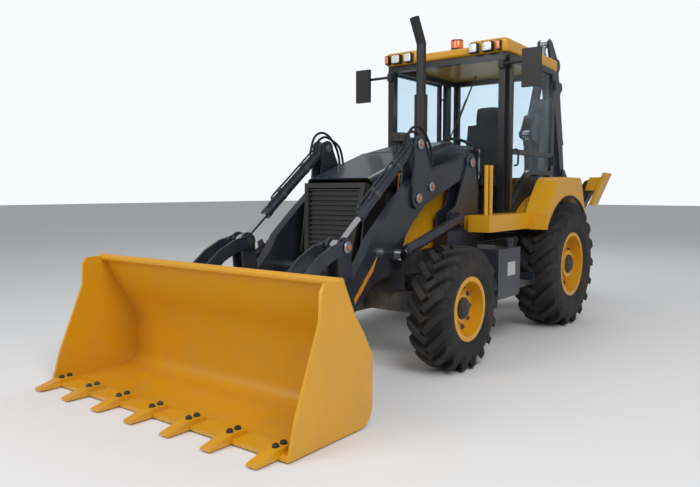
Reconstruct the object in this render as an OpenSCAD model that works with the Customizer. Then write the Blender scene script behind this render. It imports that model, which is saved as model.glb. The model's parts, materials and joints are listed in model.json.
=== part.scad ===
// Backhoe loader: front loader on a parallel linkage, cab, and a folded backhoe behind.
// +X points forward, +Y to the machine's left, +Z up, with the floor at Z = 0.
// Stations along X are counted from the rear axle and shifted at the end, so that
// the middle of the whole machine lies on the origin.

/* [Wheels] */
// Distance between the axles
wheelbase = 2257; // [2240:1:2290]
// Front tyre radius over the lugs
front_tyre_r = 486; // [480:1:490]
// Front tyre width
front_tyre_w = 331; // [320:1:334]
// Front rim radius under the tyre bead
front_seat_r = 229; // [226:1:232]
// Front tyre's outer face from the centre line
front_face_y = 1094; // [1090:1:1104]
// Front king pin from the centre line
king_pin_y = 800; // [795:1:805]
// Rear tyre radius over the lugs
rear_tyre_r = 638; // [630:1:642]
// Rear tyre width
rear_tyre_w = 443; // [430:1:446]
// Rear rim radius under the tyre bead
rear_seat_r = 305; // [300:1:310]
// Rear tyre's outer face from the centre line
rear_face_y = 1098; // [1096:1:1110]
// Height of a tyre lug
lug_h = 42; // [36:1:46]
// Width of a tyre lug
lug_w = 52; // [44:1:60]
// Lugs on each side of a tyre
lug_count = 18; // [16:1:20]
// Height of the rim flange over the bead seat
flange_h = 23; // [20:1:26]

/* [Frame] */
// Inner face of a frame rail
rail_y = 330; // [320:1:335]
// Thickness of a frame rail
rail_t = 70; // [60:1:74]
// Underside of the rails
rail_z = 690; // [685:1:695]
// Height of a rail
rail_h = 190; // [186:1:194]
// Front end of the rails
rail_front = 2560; // [2550:1:2570]
// Rear end of the rails
rail_rear = -820; // [-824:1:-816]

/* [Loader arms] */
// Middle of an arm from the hood's side
arm_gap = 140; // [138:1:142]
// Width of an arm
arm_w = 80; // [76:1:84]
// Gap beside an arm
side_gap = 5; // [4:0.5:6]
// Thickness of the linkage plates
link_t = 18; // [16:1:20]
// Arm pivot, forward of the rear axle
arm_pivot_x = 1265; // [1260:1:1270]
// Arm pivot height
arm_pivot_z = 1655; // [1650:1:1660]
// Front pin of a tilt bracket, forward of the rear axle
bracket_x = 2190; // [2185:1:2195]
// Height of a tilt bracket's front pin
bracket_z = 1335; // [1330:1:1340]
// Bucket pivot, forward of the rear axle
bucket_pivot_x = 3640; // [3635:1:3645]
// Bucket pivot height
bucket_pivot_z = 240; // [235:1:245]
// Tilt rod pin, forward of the rear axle
tilt_pin_x = 3170; // [3165:1:3175]
// Tilt rod pin height
tilt_pin_z = 1000; // [995:1:1005]
// Pivot pin radius
pin_r = 34; // [30:1:36]

/* [Loader bucket] */
// Half the width of the bucket
bucket_half_w = 1172; // [1140:1:1180]
// Thickness of the bucket's shell
bucket_wall = 18; // [14:1:22]
// Thickness of its side plates
bucket_side = 22; // [18:1:26]
// Teeth on the cutting edge
tooth_count = 7; // [5:1:9]
// Width of a tooth
tooth_w = 76; // [60:1:90]
// Tooth tips, forward of the rear axle
tooth_tip_x = 4585; // [4575:1:4600]

/* [Cylinders] */
// Lift cylinder's barrel radius
lift_barrel_r = 44; // [40:1:45]
// Lift cylinder's rod radius
lift_rod_r = 27; // [24:1:30]
// Tilt cylinder's barrel radius
tilt_barrel_r = 39; // [36:1:40]
// Tilt cylinder's rod radius
tilt_rod_r = 23; // [20:1:25]
// Backhoe cylinders' barrel radius
hoe_barrel_r = 46; // [42:1:48]
// Backhoe cylinders' rod radius
hoe_rod_r = 27; // [24:1:30]
// Running clearance of a rod in its barrel
rod_gap = 0.3; // [0.2:0.05:0.5]
// Height of a barrel's gland over the barrel
gland_h = 5; // [4:1:6]
// Running clearance round a pin
pin_gap = 0.05; // [0.03:0.01:0.1]

/* [Hood] */
// Half the width of the hood
hood_half_w = 345; // [330:1:352]
// Thickness of the sheet panels
sheet_t = 12; // [8:1:16]
// Radius along the hood's upper edges
hood_edge_r = 60; // [40:1:80]
// Exhaust stack radius
stack_r = 43; // [36:1:48]

/* [Cab] */
// Outer face of the cab posts from the centre line
cab_half_w = 670; // [664:1:676]
// Width of a cab post across the machine
post_w = 66; // [56:1:70]
// Cab floor height
floor_z = 1050; // [1045:1:1055]
// Underside of the roof
roof_z = 2715; // [2700:1:2730]
// Height of the roof cap
roof_h = 132; // [120:1:140]
// Thickness of a door
door_t = 40; // [34:1:44]
// Thickness of the glass
glass_t = 6; // [5:0.5:8]
// Gap round the panes and doors
seal_gap = 0.5; // [0.3:0.1:0.8]

/* [Backhoe] */
// Swing axis, from the rear axle
swing_x = -1360; // [-1365:1:-1355]
// Half the width of the boom
boom_half_w = 95; // [90:1:98]
// Half the width of the dipper
dipper_half_w = 80; // [76:1:84]
// Half the width of the digging bucket
dig_half_w = 300; // [280:1:305]
// Thickness of the digging bucket's shell
dig_wall = 16; // [12:1:18]

/* [Stabilisers] */
// Stabiliser pivot from the centre line
stab_y = 450; // [445:1:455]
// Stabiliser pivot height
stab_z = 600; // [595:1:605]
// Front face of the stabiliser legs
stab_x = -845; // [-850:1:-840]
// Depth of a stabiliser leg
stab_d = 150; // [140:1:156]

/* [Hidden] */
$fn = 48;
tooth_pitch = 2 * (bucket_half_w - bucket_side - 90) / (tooth_count - 1);
// Pivots of the loader linkage, seen from the side
arm_pivot = [arm_pivot_x, arm_pivot_z];
bracket_pivot = [bracket_x, bracket_z];
bucket_pivot = [bucket_pivot_x, bucket_pivot_z];
tilt_pin = [tilt_pin_x, tilt_pin_z];
bracket_up = [-20, 440];
lever_up = [50, 445];
bracket_top = bracket_pivot + bracket_up;
bracket_foot = bracket_pivot + [-200, 95];
lever_pivot = tilt_pin - lever_up;
bucket_pin = bucket_pivot + lever_up;
lift_eye = [2545, 900];
lift_base = [1610, 1150];
// Layers of the loader linkage across an arm
arm_y = hood_half_w + arm_gap;
arm_in = arm_y - arm_w / 2;
arm_out = arm_y + arm_w / 2;
plate_off = arm_w / 2 + side_gap;
outer_off = plate_off + link_t + side_gap;
lift_y = arm_y + plate_off + link_t + 16 + lift_barrel_r;
// Pivots of the backhoe, seen from the side
boom_foot = [-1600, 800];
boom_head = [-1980, 3050];
boom_base_pin = [-1400, 1165];
boom_rod_pin = [-1275, 2110];
dip_base_pin = [-1370, 2290];
dip_rod_pin = [-1800, 3310];
dig_pivot = [-2420, 1300];
dip_axis = (boom_head - dig_pivot) / norm(boom_head - dig_pivot);
toggle_pivot = dig_pivot + 340 * dip_axis;
toggle_arm = 320 * [cos(220), sin(220)];
toggle_end = toggle_pivot + toggle_arm;
dig_pin = dig_pivot + toggle_arm;
dig_base_pin = [-2240, 2800];
ear_r = 60;
mouth_angle = 335;
// Half the length of the machine ahead of and behind its middle
x_mid = (tooth_tip_x + dig_pin[0] - ear_r) / 2;

// Shared sizes of the axles, pins and the layers of the backhoe
rear_housing_r = 110;
front_beam_top = 560;
spindle_r = 55;
round_gap = 0.3;
swing_pin_r = 50;
lug_z1 = 500;
lug_z2 = 980;
lug_t = 80;
hoe_eye = hoe_barrel_r - 1;
toggle_in = dipper_half_w + side_gap;
toggle_out = toggle_in + link_t;
push_in = toggle_out + side_gap;
push_out = push_in + link_t;
ear_in = push_out + side_gap;
ear_out = ear_in + 19;
pad_pin = [927, 1457];
// Fenders follow the rear tyre, and the sills and doors follow the fenders
fender_r = rear_tyre_r + 62;
fender_top = 2 * rear_tyre_r + 257;
sill_z = fender_top + 12;
// Room beside the frame between the front and the rear tyre
side_room = wheelbase - front_tyre_r - rear_tyre_r;
tank_x1 = rear_tyre_r + 0.372 * side_room;
tank_x2 = rear_tyre_r + 0.778 * side_room;
step_x1 = rear_tyre_r + 0.037 * side_room;
// The tanks rest against the feet of the towers
tank_y = arm_out + side_gap + link_t;
// Raked grille
grille_x = 2668;
grille_z = 812;
grille_rake = 8.6;
// Tie-down bores ahead of the front bolster
bolster_x = 2700;
bolster_z = 640;
tie_x = bolster_x + 60;
tie_end_r = 50;
tie_y = 220;
tie_r = 24;
tie_t = 40;
// Hood, cowl and stack
hood_hinge = [1800, 1745];
hood_front = [2555, 1501];
hood_axis = hood_hinge - [0, 4];
hood_pin_r = 5;
hood_barrel_r = 9;
cowl_top = [1225, 1862];
stack_x = 1680;
stack_y = 250;
cleaner_x = 1640;
cleaner_r = 40;
// Door and its openings, seen from the side
door_y = cab_half_w + side_gap;
hinge_x = -305;
hinge_y = door_y + door_t + 4;
hinge_z = [fender_top + 157, 2500];
hinge_r = 18;
hinge_pin_r = 10;
door_upper = [[-250, 1800], [740, 1800], [740, 2640], [-250, 2640]];
door_lower = concat(above_fender([[-250, 77], [295, 77], [385, 49], [500, -35], [625, -181], [690, -283],
    [740, -283]]), [[740, 1750], [-250, 1750]]);
// Loader bucket's shell and the digging bucket's shell, seen from the side
bucket_path = concat([[3970, 904], [3864, 690], [3775, 570], [3694, 430]],
    arc([3814, 129], 120, 180, 270, 8), [[4423, 10]]);
dig_path = [dig_pt(50, 110), dig_pt(97, 375), dig_pt(80, 445), dig_pt(60, 525), dig_pt(40, 590),
    dig_pt(20, 630), dig_pt(0, 650)];
// Curved tilt link between the lever and the bucket
tilt_link_side = left_of(tilt_pin, bucket_pin);
tilt_link_mid = (tilt_pin + bucket_pin) / 2 + 70 * tilt_link_side;
tilt_link_path = [tilt_pin, (tilt_pin + tilt_link_mid) / 2 + 18 * tilt_link_side, tilt_link_mid,
    (bucket_pin + tilt_link_mid) / 2 + 18 * tilt_link_side, bucket_pin];
tilt_link_outline = sheet(offset_path(tilt_link_path, -50), 100);

// Moves a piece from its station to the shared frame
module place() {
    translate([-x_mid, 0, 0]) children();
}

// A piece and its mirror image on the right side
module both_sides() {
    children();
    mirror([0, 1, 0]) children();
}

// A flat plate with a side outline, standing from y0 to y0 + t
module plate(outline, y0, t) {
    translate([0, y0 + t, 0]) rotate([90, 0, 0]) linear_extrude(t) polygon(outline);
}

// A round bar across the machine at side position p
module cross_pin(p, y0, y1, r) {
    translate([p[0], y0, p[1]]) rotate([-90, 0, 0]) cylinder(r = r, h = y1 - y0);
}

// Outline of a link with round ends: the straight part between two circles
function link_outline(p, q, r1, r2) =
    let (d = norm(q - p), a = atan2(q[1] - p[1], q[0] - p[0]), b = acos((r1 - r2) / d))
    [for (s = [1, -1]) for (e = s > 0 ? [0, 1] : [1, 0])
        let (c = e == 0 ? p : q, r = e == 0 ? r1 : r2)
        c + r * [cos(a + s * b), sin(a + s * b)]];

// A link plate with round ends
module link(p, q, r1, r2, y0, t) {
    plate(link_outline(p, q, r1, r2), y0, t);
    cross_pin(p, y0, y0 + t, r1);
    cross_pin(q, y0, y0 + t, r2);
}

// Points of an arc about a centre
function arc(c, r, a0, a1, n = 8) =
    [for (i = [0 : n]) let (a = a0 + (a1 - a0) * i / n) c + r * [cos(a), sin(a)]];

// Unit normal of a segment, to its left
function left_of(p, q) = [p[1] - q[1], q[0] - p[0]] / norm(q - p);

// One side of a path, moved by d to its left with mitred corners
function offset_path(path, d) =
    let (last = len(path) - 1)
    [for (i = [0 : last])
        let (n0 = left_of(path[max(i - 1, 0)], path[max(i, 1)]),
            n1 = left_of(path[min(i, last - 1)], path[min(i + 1, last)]))
        path[i] + d * (n0 + n1) / (1 + n0 * n1)];

// A closed outline moved inwards by d, its points running anticlockwise
function offset_closed(o, d) =
    let (n = len(o))
    [for (i = [0 : n - 1])
        let (n0 = left_of(o[(i + n - 1) % n], o[i]), n1 = left_of(o[i], o[(i + 1) % n]))
        o[i] + d * (n0 + n1) / (1 + n0 * n1)];

// A path reversed
function reversed(path) = [for (i = [len(path) - 1 : -1 : 0]) path[i]];

// A bent sheet: the path and its copy moved by t to the left
function sheet(path, t) = concat(path, reversed(offset_path(path, t)));

// A hydraulic barrel from its base pin towards its rod's pin, bored for the rod and the pin
module barrel(p, q, y, r, bore_r, bore_from, gland, eye_r, eye_w) {
    a = atan2(q[1] - p[1], q[0] - p[0]);
    translate([p[0], y, p[1]]) rotate([0, -a, 0]) difference() {
        union() {
            rotate([90, 0, 0]) cylinder(r = eye_r, h = eye_w, center = true);
            rotate([0, 90, 0]) cylinder(r = r, h = gland);
            translate([gland - 60, 0, 0]) rotate([0, 90, 0]) cylinder(r = r + gland_h, h = 60);
        }
        translate([bore_from, 0, 0]) rotate([0, 90, 0]) cylinder(r = bore_r, h = gland);
        rotate([90, 0, 0]) cylinder(r = pin_r + pin_gap, h = 2 * eye_w, center = true);
    }
}

// A rod from inside its barrel to its eye
module rod(p, q, y, r, from, eye_r, eye_w) {
    a = atan2(q[1] - p[1], q[0] - p[0]);
    translate([p[0], y, p[1]]) rotate([0, -a, 0]) {
        translate([from, 0, 0]) rotate([0, 90, 0]) cylinder(r = r, h = norm(q - p) - from);
        translate([norm(q - p), 0, 0]) rotate([90, 0, 0]) cylinder(r = eye_r, h = eye_w, center = true);
    }
}

// Outline of a panel with two round upper corners
module arched_panel(half_w, h, r) {
    translate([-half_w, 0]) square([2 * half_w, h - r]);
    translate([r - half_w, 0]) square([2 * (half_w - r), h]);
    for (s = [-1, 1]) translate([s * (half_w - r), h - r]) circle(r);
}

// A shell with round upper edges, open below, that slopes from p down to q
module sloped_shell(p, q, half_w, depth) {
    a = atan2(p[1] - q[1], q[0] - p[0]);
    translate([p[0], 0, p[1]]) rotate([0, a, 0]) rotate([90, 0, 90]) linear_extrude(norm(q - p))
        translate([0, -depth]) difference() {
            arched_panel(half_w, depth, hood_edge_r);
            translate([0, -1]) arched_panel(half_w - sheet_t, depth + 1 - sheet_t, hood_edge_r - sheet_t);
        }
}

// A box between two corners
module box(a, b) {
    translate(a) cube(b - a);
}

// A body with a front outline (y, z), from x0 to x1
module across(outline, x0, x1) {
    translate([x0, 0, 0]) rotate([90, 0, 90]) linear_extrude(x1 - x0) polygon(outline);
}

// A round bar along the machine
module long_pin(y, z, x0, x1, r) {
    translate([x0, y, z]) rotate([0, 90, 0]) cylinder(r = r, h = x1 - x0);
}

// A round body of revolution about a wheel's axle, profile (radius, y)
module turned(profile, x, z) {
    translate([x, 0, z]) rotate([-90, 0, 0]) rotate_extrude() polygon(profile);
}

// Two plates beside a loader arm with the same side outline
module beside_arm(outline, off) {
    for (y = [arm_y - off - link_t, arm_y + off]) plate(outline, y, link_t);
}

// Two link plates beside a loader arm
module links_beside_arm(p, q, r1, r2, off) {
    for (y = [arm_y - off - link_t, arm_y + off]) link(p, q, r1, r2, y, link_t);
}

// A bore across a loader arm's linkage
module arm_bore(p, gap) {
    cross_pin(p, arm_y - 200, arm_y + 200, pin_r + gap);
}

// A pin across a loader arm's linkage
module arm_pin(p, half) {
    cross_pin(p, arm_y - half, arm_y + half, pin_r);
}

// Two plates on either side of the backhoe's middle plane
module hoe_plates(outline, y0, y1) {
    plate(outline, y0, y1 - y0);
    plate(outline, -y1, y1 - y0);
}

// Two link plates on either side of the backhoe's middle plane
module hoe_links(p, q, r1, r2, y0, y1) {
    link(p, q, r1, r2, y0, y1 - y0);
    link(p, q, r1, r2, -y1, y1 - y0);
}

// A boss on either side of the backhoe's middle plane
module hoe_bosses(p, y0, y1, r) {
    cross_pin(p, y0, y1, r);
    cross_pin(p, -y1, -y0, r);
}

// Side positions whose heights count from the fender's top
function above_fender(path) = [for (p = path) p + [0, fender_top]];

// Rear face of the raked grille at a height
function grille_back(z) = grille_x - (z - grille_z) * tan(grille_rake);

// Point on the dipper: s along its axis from the bucket pivot, h to the rear
function dip_pt(s, h) = dig_pivot + s * dip_axis + h * [-dip_axis[1], dip_axis[0]];

// Point on the digging bucket: angle behind its mouth line and distance from its pivot
function dig_pt(a, r) = dig_pivot + r * [cos(mouth_angle - a), sin(mouth_angle - a)];

// Rails, front bolster, stabiliser beam and the lugs of the swing post
module main_frame() {
    color("DimGray") place() {
        difference() {
            union() {
                both_sides() box([rail_rear, rail_y, rail_z], [rail_front, rail_y + rail_t, rail_z + rail_h]);
                box([380, -rail_y, 720], [460, rail_y, 860]);
                box([2440, -rail_y, bolster_z], [bolster_x, rail_y, 800]);
            }
            cross_pin([0, rear_tyre_r], -500, 500, rear_housing_r + round_gap);
        }
        both_sides() {
            plate([[2590, 795], [grille_back(800) - seal_gap, 800], [grille_back(1000) - seal_gap, 1000],
                [2590, 1000]], 190, 40);
            box([wheelbase - 100, 170, front_beam_top], [wheelbase + 100, rail_y + rail_t, rail_z]);
            long_pin(stab_y, stab_z, stab_x - stab_d - 25, rail_rear, pin_r);
        }
        for (x = [rail_rear - 20, stab_x - stab_d - 25])
            across([[-540, 500], [-460, 455], [460, 455], [540, 500], [540, 690], [400, 880], [-400, 880],
                [-540, 690]], x, x + 20);
        box([stab_x - stab_d - 10, -350, 480], [rail_rear - 15, 350, 860]);
        box([stab_x - stab_d - 65, -280, 455], [stab_x - stab_d - 20, 280, lug_z2 + lug_t]);
        for (z = [lug_z1, lug_z2]) difference() {
            translate([0, 0, z]) linear_extrude(lug_t) {
                polygon([[-1030, -280], [-1030, 280], [-1180, 150], [swing_x, 120], [swing_x, -120],
                    [-1180, -150]]);
                translate([swing_x, 0]) circle(120);
            }
            translate([swing_x, 0, z - 1]) cylinder(r = swing_pin_r + pin_gap, h = lug_t + 2);
        }
    }
}

// Tie-down plates on the front of the bolster
module tie_downs() {
    color("DimGray") place() both_sides() difference() {
        union() {
            box([bolster_x, tie_y - tie_end_r, bolster_z], [tie_x, tie_y + tie_end_r, bolster_z + tie_t]);
            translate([tie_x, tie_y, bolster_z]) cylinder(r = tie_end_r, h = tie_t);
        }
        translate([tie_x, tie_y, bolster_z - 1]) cylinder(r = tie_r, h = tie_t + 2);
    }
}

// Loader towers beside the rails, with the pins of the arms and the lift cylinders
module towers() {
    color("DimGray") place() both_sides() {
        box([1150, rail_y + rail_t, 760], [1650, arm_out + side_gap + link_t, rail_z + rail_h]);
        box([1150, arm_in - side_gap, rail_z + rail_h], [1690, arm_out + side_gap, 1000]);
        beside_arm([[1130, 870], [1700, 870], [1700, 1200], [1560, 1260], [1345, 1630],
            [1185, 1630], [1130, 1400]], plate_off);
        for (y = [arm_y - plate_off - link_t, arm_y + plate_off]) cross_pin(arm_pivot, y, y + link_t, 85);
        arm_pin(arm_pivot, plate_off + link_t + 8);
        cross_pin(lift_base, arm_out + side_gap, lift_y + 34, pin_r);
    }
}

// Front axle with its yokes and king pins, rear axle with its spindles
module axles() {
    color("DarkSlateGray") place() {
        translate([wheelbase, 0, front_tyre_r]) {
            box([-75, -745, -76], [75, 745, front_beam_top - front_tyre_r]);
            rotate([0, 90, 0]) cylinder(r = 125, h = 280, center = true);
            translate([-125, -380, 0]) rotate([-90, 0, 0]) cylinder(r = 32, h = 760);
            for (y = [-300, 300]) box([-140, y - 25, -30], [-70, y + 25, 30]);
            both_sides() {
                box([-60, 700, -130], [60, 745, 130]);
                for (z = [-130, 95]) {
                    box([-60, 740, z], [60, king_pin_y, z + 35]);
                    translate([0, king_pin_y, z]) cylinder(r = 60, h = 35);
                }
                translate([0, king_pin_y, -150]) cylinder(r = 30, h = 300);
            }
        }
        cross_pin([0, rear_tyre_r], -670, 670, rear_housing_r);
        cross_pin([0, rear_tyre_r], -150, 150, 185);
        cross_pin([0, rear_tyre_r], -1000, 1000, 70);
    }
}

// Engine, gearbox and radiator as plain blocks
module engine() {
    color("Gray") place() {
        box([1350, -280, 700], [2350, 280, 1450]);
        box([500, -220, 560], [1300, 220, 1000]);
        box([1290, -150, 750], [1360, 150, 950]);
        both_sides() for (x = [950, 1900]) box([x, 210, 740], [x + 90, rail_y, 820]);
        box([2440, -270, 800], [2490, 270, 1440]);
        box([2340, -90, 1000], [2450, 90, 1180]);
        long_pin(0, rear_tyre_r, 187, 510, 38);
    }
}

// Fixed rear part of the bonnet
module cowl() {
    color("MidnightBlue") place() difference() {
        union() {
            sloped_shell(cowl_top, hood_hinge - [15, 0], hood_half_w, 190);
            across([[-hood_half_w + 1, 1640], [hood_half_w - 1, 1640], [hood_half_w - 1, 1790],
                [hood_half_w - 30, 1840], [30 - hood_half_w, 1840], [1 - hood_half_w, 1790]],
                cowl_top[0], cowl_top[0] + 15);
            for (y = [-200, -25, 150]) {
                cross_pin(hood_axis, y, y + 50, hood_barrel_r);
                plate([hood_axis + [-40, -2], hood_axis + [0, -9], hood_axis + [0, 9],
                    hood_axis + [-16, 9]], y, 50);
            }
            cross_pin(hood_axis, -200, 200, hood_pin_r);
        }
        box([cowl_top[0] - 100, -hood_half_w - 1, 1500], [cowl_top[0], hood_half_w + 1, 2000]);
        for (p = [[stack_x, stack_y, stack_r], [cleaner_x, 0, cleaner_r]])
            translate([p[0], p[1], 1600]) cylinder(r = p[2] + round_gap, h = 400);
    }
}

// Bonnet lid, hinged at its rear edge
module hood() {
    color("MidnightBlue") place() {
        sloped_shell(hood_hinge + [14, -3], hood_front, hood_half_w, 150);
        for (y = [-145, 30]) difference() {
            union() {
                cross_pin(hood_axis, y, y + 115, hood_barrel_r);
                plate([hood_axis + [0, -9], hood_axis + [26, -14], hood_axis + [22, -1],
                    hood_axis + [0, 9]], y, 115);
            }
            cross_pin(hood_axis, y - 1, y + 116, hood_pin_r + pin_gap);
        }
    }
}

// Raked radiator grille and the nose behind it
module grille() {
    color("Black") place() {
        translate([grille_x, 0, grille_z]) rotate([0, -grille_rake, 0]) {
            difference() {
                rotate([90, 0, 90]) linear_extrude(40)
                    polygon([[-240, 0], [240, 0], [318, 650], [-318, 650]]);
                translate([8, 0, 0]) rotate([90, 0, 90]) linear_extrude(40)
                    polygon([[-205, 45], [205, 45], [272, 610], [-272, 610]]);
            }
            for (i = [0 : 13]) box([8, -212 - 4.6 * i, 70 + 40 * i], [26, 212 + 4.6 * i, 82 + 40 * i]);
        }
        both_sides() plate([[2330, 882], [grille_x, 882], [grille_x, 900], [2585, 1440],
            [2330, 1490]], 305, 13);
    }
}

// Yellow panels along the engine
module side_panels() {
    color("Gold") place() both_sides()
        plate([[1240, rail_z + rail_h], [2320, rail_z + rail_h], [2270, 1120], [2230, 1300], [2200, 1540],
            [1240, 1640]], hood_half_w + side_gap, 20);
}

// Exhaust stack and the air cleaner's cap
module exhaust() {
    color("Black") place() {
        translate([stack_x, stack_y, 1500]) cylinder(r = stack_r, h = 1200);
        translate([stack_x, stack_y, 1830]) cylinder(r = stack_r + 16, h = 420);
        translate([stack_x, stack_y, 2700]) {
            sphere(r = stack_r);
            rotate([0, 31, 0]) difference() {
                cylinder(r = stack_r, h = 235);
                translate([0, 0, 80]) cylinder(r = stack_r - 5, h = 200);
            }
        }
        translate([cleaner_x, 0, 1500]) cylinder(r = cleaner_r, h = 360);
        translate([cleaner_x, 0, 1850]) cylinder(r = 95, h = 55);
        translate([cleaner_x, 0, 1905]) cylinder(r1 = 95, r2 = 60, h = 25);
    }
}

// Posts, floor, lower walls and the dash of the cab
module cab_frame() {
    color("DarkSlateGray") place() {
        both_sides() {
            box([770, cab_half_w - post_w, 1180], [850, cab_half_w, roof_z]);
            box([-400, cab_half_w - post_w, fender_top - 113], [-320, cab_half_w, roof_z]);
            box([-560, 560, floor_z], [-500, 626, roof_z]);
            box([-560, 604, roof_z - 60], [850, 626, roof_z]);
            box([-400, 604, roof_z - 60], [850, cab_half_w, roof_z]);
            plate(concat([[-560, floor_z], [850, floor_z], [850, 1185]], above_fender([[650, -348],
                [570, -228], [450, -88], [350, -13], [280, 12], [-560, 12]])), 600, 40);
        }
        both_sides() for (z = hinge_z) {
            box([-345, cab_half_w - 1, z - 18], [hinge_x - 5, hinge_y, z]);
            translate([hinge_x, hinge_y, z - 18]) cylinder(r = hinge_r, h = 18);
            translate([hinge_x, hinge_y, z - 18]) cylinder(r = hinge_pin_r, h = 98);
        }
        box([770, -620, roof_z - 60], [850, 620, roof_z]);
        box([-560, -620, roof_z - 60], [-500, 620, roof_z]);
        box([-560, -620, floor_z], [850, 620, floor_z + 40]);
        box([-560, -620, floor_z], [-520, 620, sill_z]);
        box([800, -620, floor_z], [850, 620, 1200]);
        box([800, -400, floor_z], [850, 400, 1800]);
        box([840, 1 - hood_half_w, floor_z - 45], [cowl_top[0], hood_half_w - 1, 1830]);
        both_sides() box([840, 330, 880], [1100, 400, floor_z + 40]);
    }
}

// Roof cap with raised front corners
module roof() {
    color("Gold") place() difference() {
        translate([0, 0, roof_z]) linear_extrude(roof_h)
            polygon([[-600, -600], [-560, -645], [850, -700], [890, -660], [890, 660], [850, 700],
                [-560, 645], [-600, 600]]);
        box([680, -300, roof_z + roof_h - 60], [900, 300, roof_z + roof_h + 1]);
    }
}

// Windscreen, rear and quarter windows
module glass() {
    color("SteelBlue", 0.5) place() {
        across(offset_closed([[-604, roof_z - 60], [-604, 1200], [-400, 1200], [-400, 1800], [400, 1800],
            [400, 1200], [604, 1200], [604, roof_z - 60]], seal_gap), 822, 822 + glass_t);
        across(offset_closed([[-560, roof_z - 60], [-560, sill_z], [560, sill_z],
            [560, roof_z - 60]], seal_gap), -540, glass_t - 540);
        both_sides() plate(offset_closed([[-500, sill_z], [-400, sill_z], [-400, roof_z - 60],
            [-500, roof_z - 60]], seal_gap), 612, glass_t);
    }
}

// Driver's seat
module seat() {
    color("Black") place() {
        box([0, -150, floor_z + 40], [300, 150, 1460]);
        box([-100, -240, 1450], [400, 240, 1560]);
        translate([-80, 0, 1500]) rotate([0, -8, 0]) {
            box([-60, -230, 0], [40, 230, 640]);
            box([-40, -130, 630], [30, 130, 830]);
        }
        both_sides() box([-60, 250, 1690], [260, 310, 1730]);
        both_sides() box([-80, 225, 1600], [-20, 310, 1720]);
    }
}

// Steering column, wheel and the two consoles
module controls() {
    color("DimGray") place() {
        box([640, -200, floor_z + 40], [790, 200, 1600]);
        translate([690, 0, 1560]) rotate([0, -32, 0]) {
            cylinder(r = 35, h = 330);
            translate([0, 0, 320]) rotate_extrude() translate([190, 0]) circle(16);
            translate([0, 0, 310]) cylinder(r = 55, h = 26);
            for (a = [30, 150, 270]) rotate([0, 0, a]) box([0, -14, 314], [190, 14, 326]);
        }
        box([-480, -220, floor_z + 40], [-400, 220, 1540]);
        for (y = [-120, -40, 40, 120]) translate([-440, y, 1530]) {
            cylinder(r = 9, h = 190);
            translate([0, 0, 200]) sphere(r = 24);
        }
    }
}

// Rear fenders with the sills and handrails
module fenders() {
    arch = arc([0, rear_tyre_r], fender_r, 133, 33, 14);
    color("Gold") place() both_sides() {
        plate(concat([[620, 1020]], above_fender([[610, -353], [500, -203], [360, -53], [310, -20], [250, 0],
            [-290, 0], [-330, -15], [-360, -50], [-500, -385]]), arch), 800, 220);
        plate(sheet(arch, sheet_t), 640, 165);
        box([610, 640, 1030], [1500, 850, 1180]);
        box([1200, arm_out + side_gap + link_t, 1040], [1400, 650, 1170]);
        for (x = [1385, 1475]) translate([x, 800, 1170]) cylinder(r = 18, h = 450);
    }
}

// Fuel and oil tanks with the steps
module tanks() {
    color("MidnightBlue") place() both_sides() {
        plate([[tank_x1, 480], [tank_x1 + 35, 445], [tank_x2 - 35, 445], [tank_x2, 480], [tank_x2, 885],
            [tank_x1, 885]], tank_y, 950 - tank_y);
        translate([tank_x1 + 140, 900, 870]) cylinder(r = 38, h = 75);
        box([step_x1, 700, 500], [tank_x1 + 5, 940, 530]);
        box([step_x1, 700, 500], [step_x1 + 30, 940, 600]);
    }
}

// Work lamps, headlights, signals and the beacon
module lamps() {
    color("LightGray") place() {
        both_sides() {
            for (y = [[330, 418], [468, 574], [612, 655]])
                box([890, y[0], roof_z + 4], [945, y[1], roof_z + 100]);
            for (y = [[300, 400], [470, 570]])
                box([-650, y[0], roof_z + 20], [-600, y[1], roof_z + 110]);
        }
        translate([570, 0, roof_z + roof_h]) cylinder(r = 62, h = 110);
    }
}

// Outside mirrors on their arms
module mirrors() {
    color("Black") place() both_sides() {
        box([850, 612, 2560], [885, 664, 2640]);
        cross_pin([868, 2600], 650, 960, 14);
        box([860, 940, 2580], [900, 978, 2620]);
        box([895, 869, 2352], [930, 1049, 2702]);
    }
}

// Left steering knuckle with its wheel spindle
module knuckle() {
    translate([wheelbase, king_pin_y, front_tyre_r]) difference() {
        union() {
            translate([0, 0, -90]) cylinder(r = 50, h = 180);
            rotate([-90, 0, 0]) cylinder(r = spindle_r, h = 180);
        }
        translate([0, 0, -200]) cylinder(r = 30 + pin_gap, h = 400);
    }
}

module knuckle_l() {
    color("DimGray") place() knuckle();
}

module knuckle_r() {
    color("DimGray") place() mirror([0, 1, 0]) knuckle();
}

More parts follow.
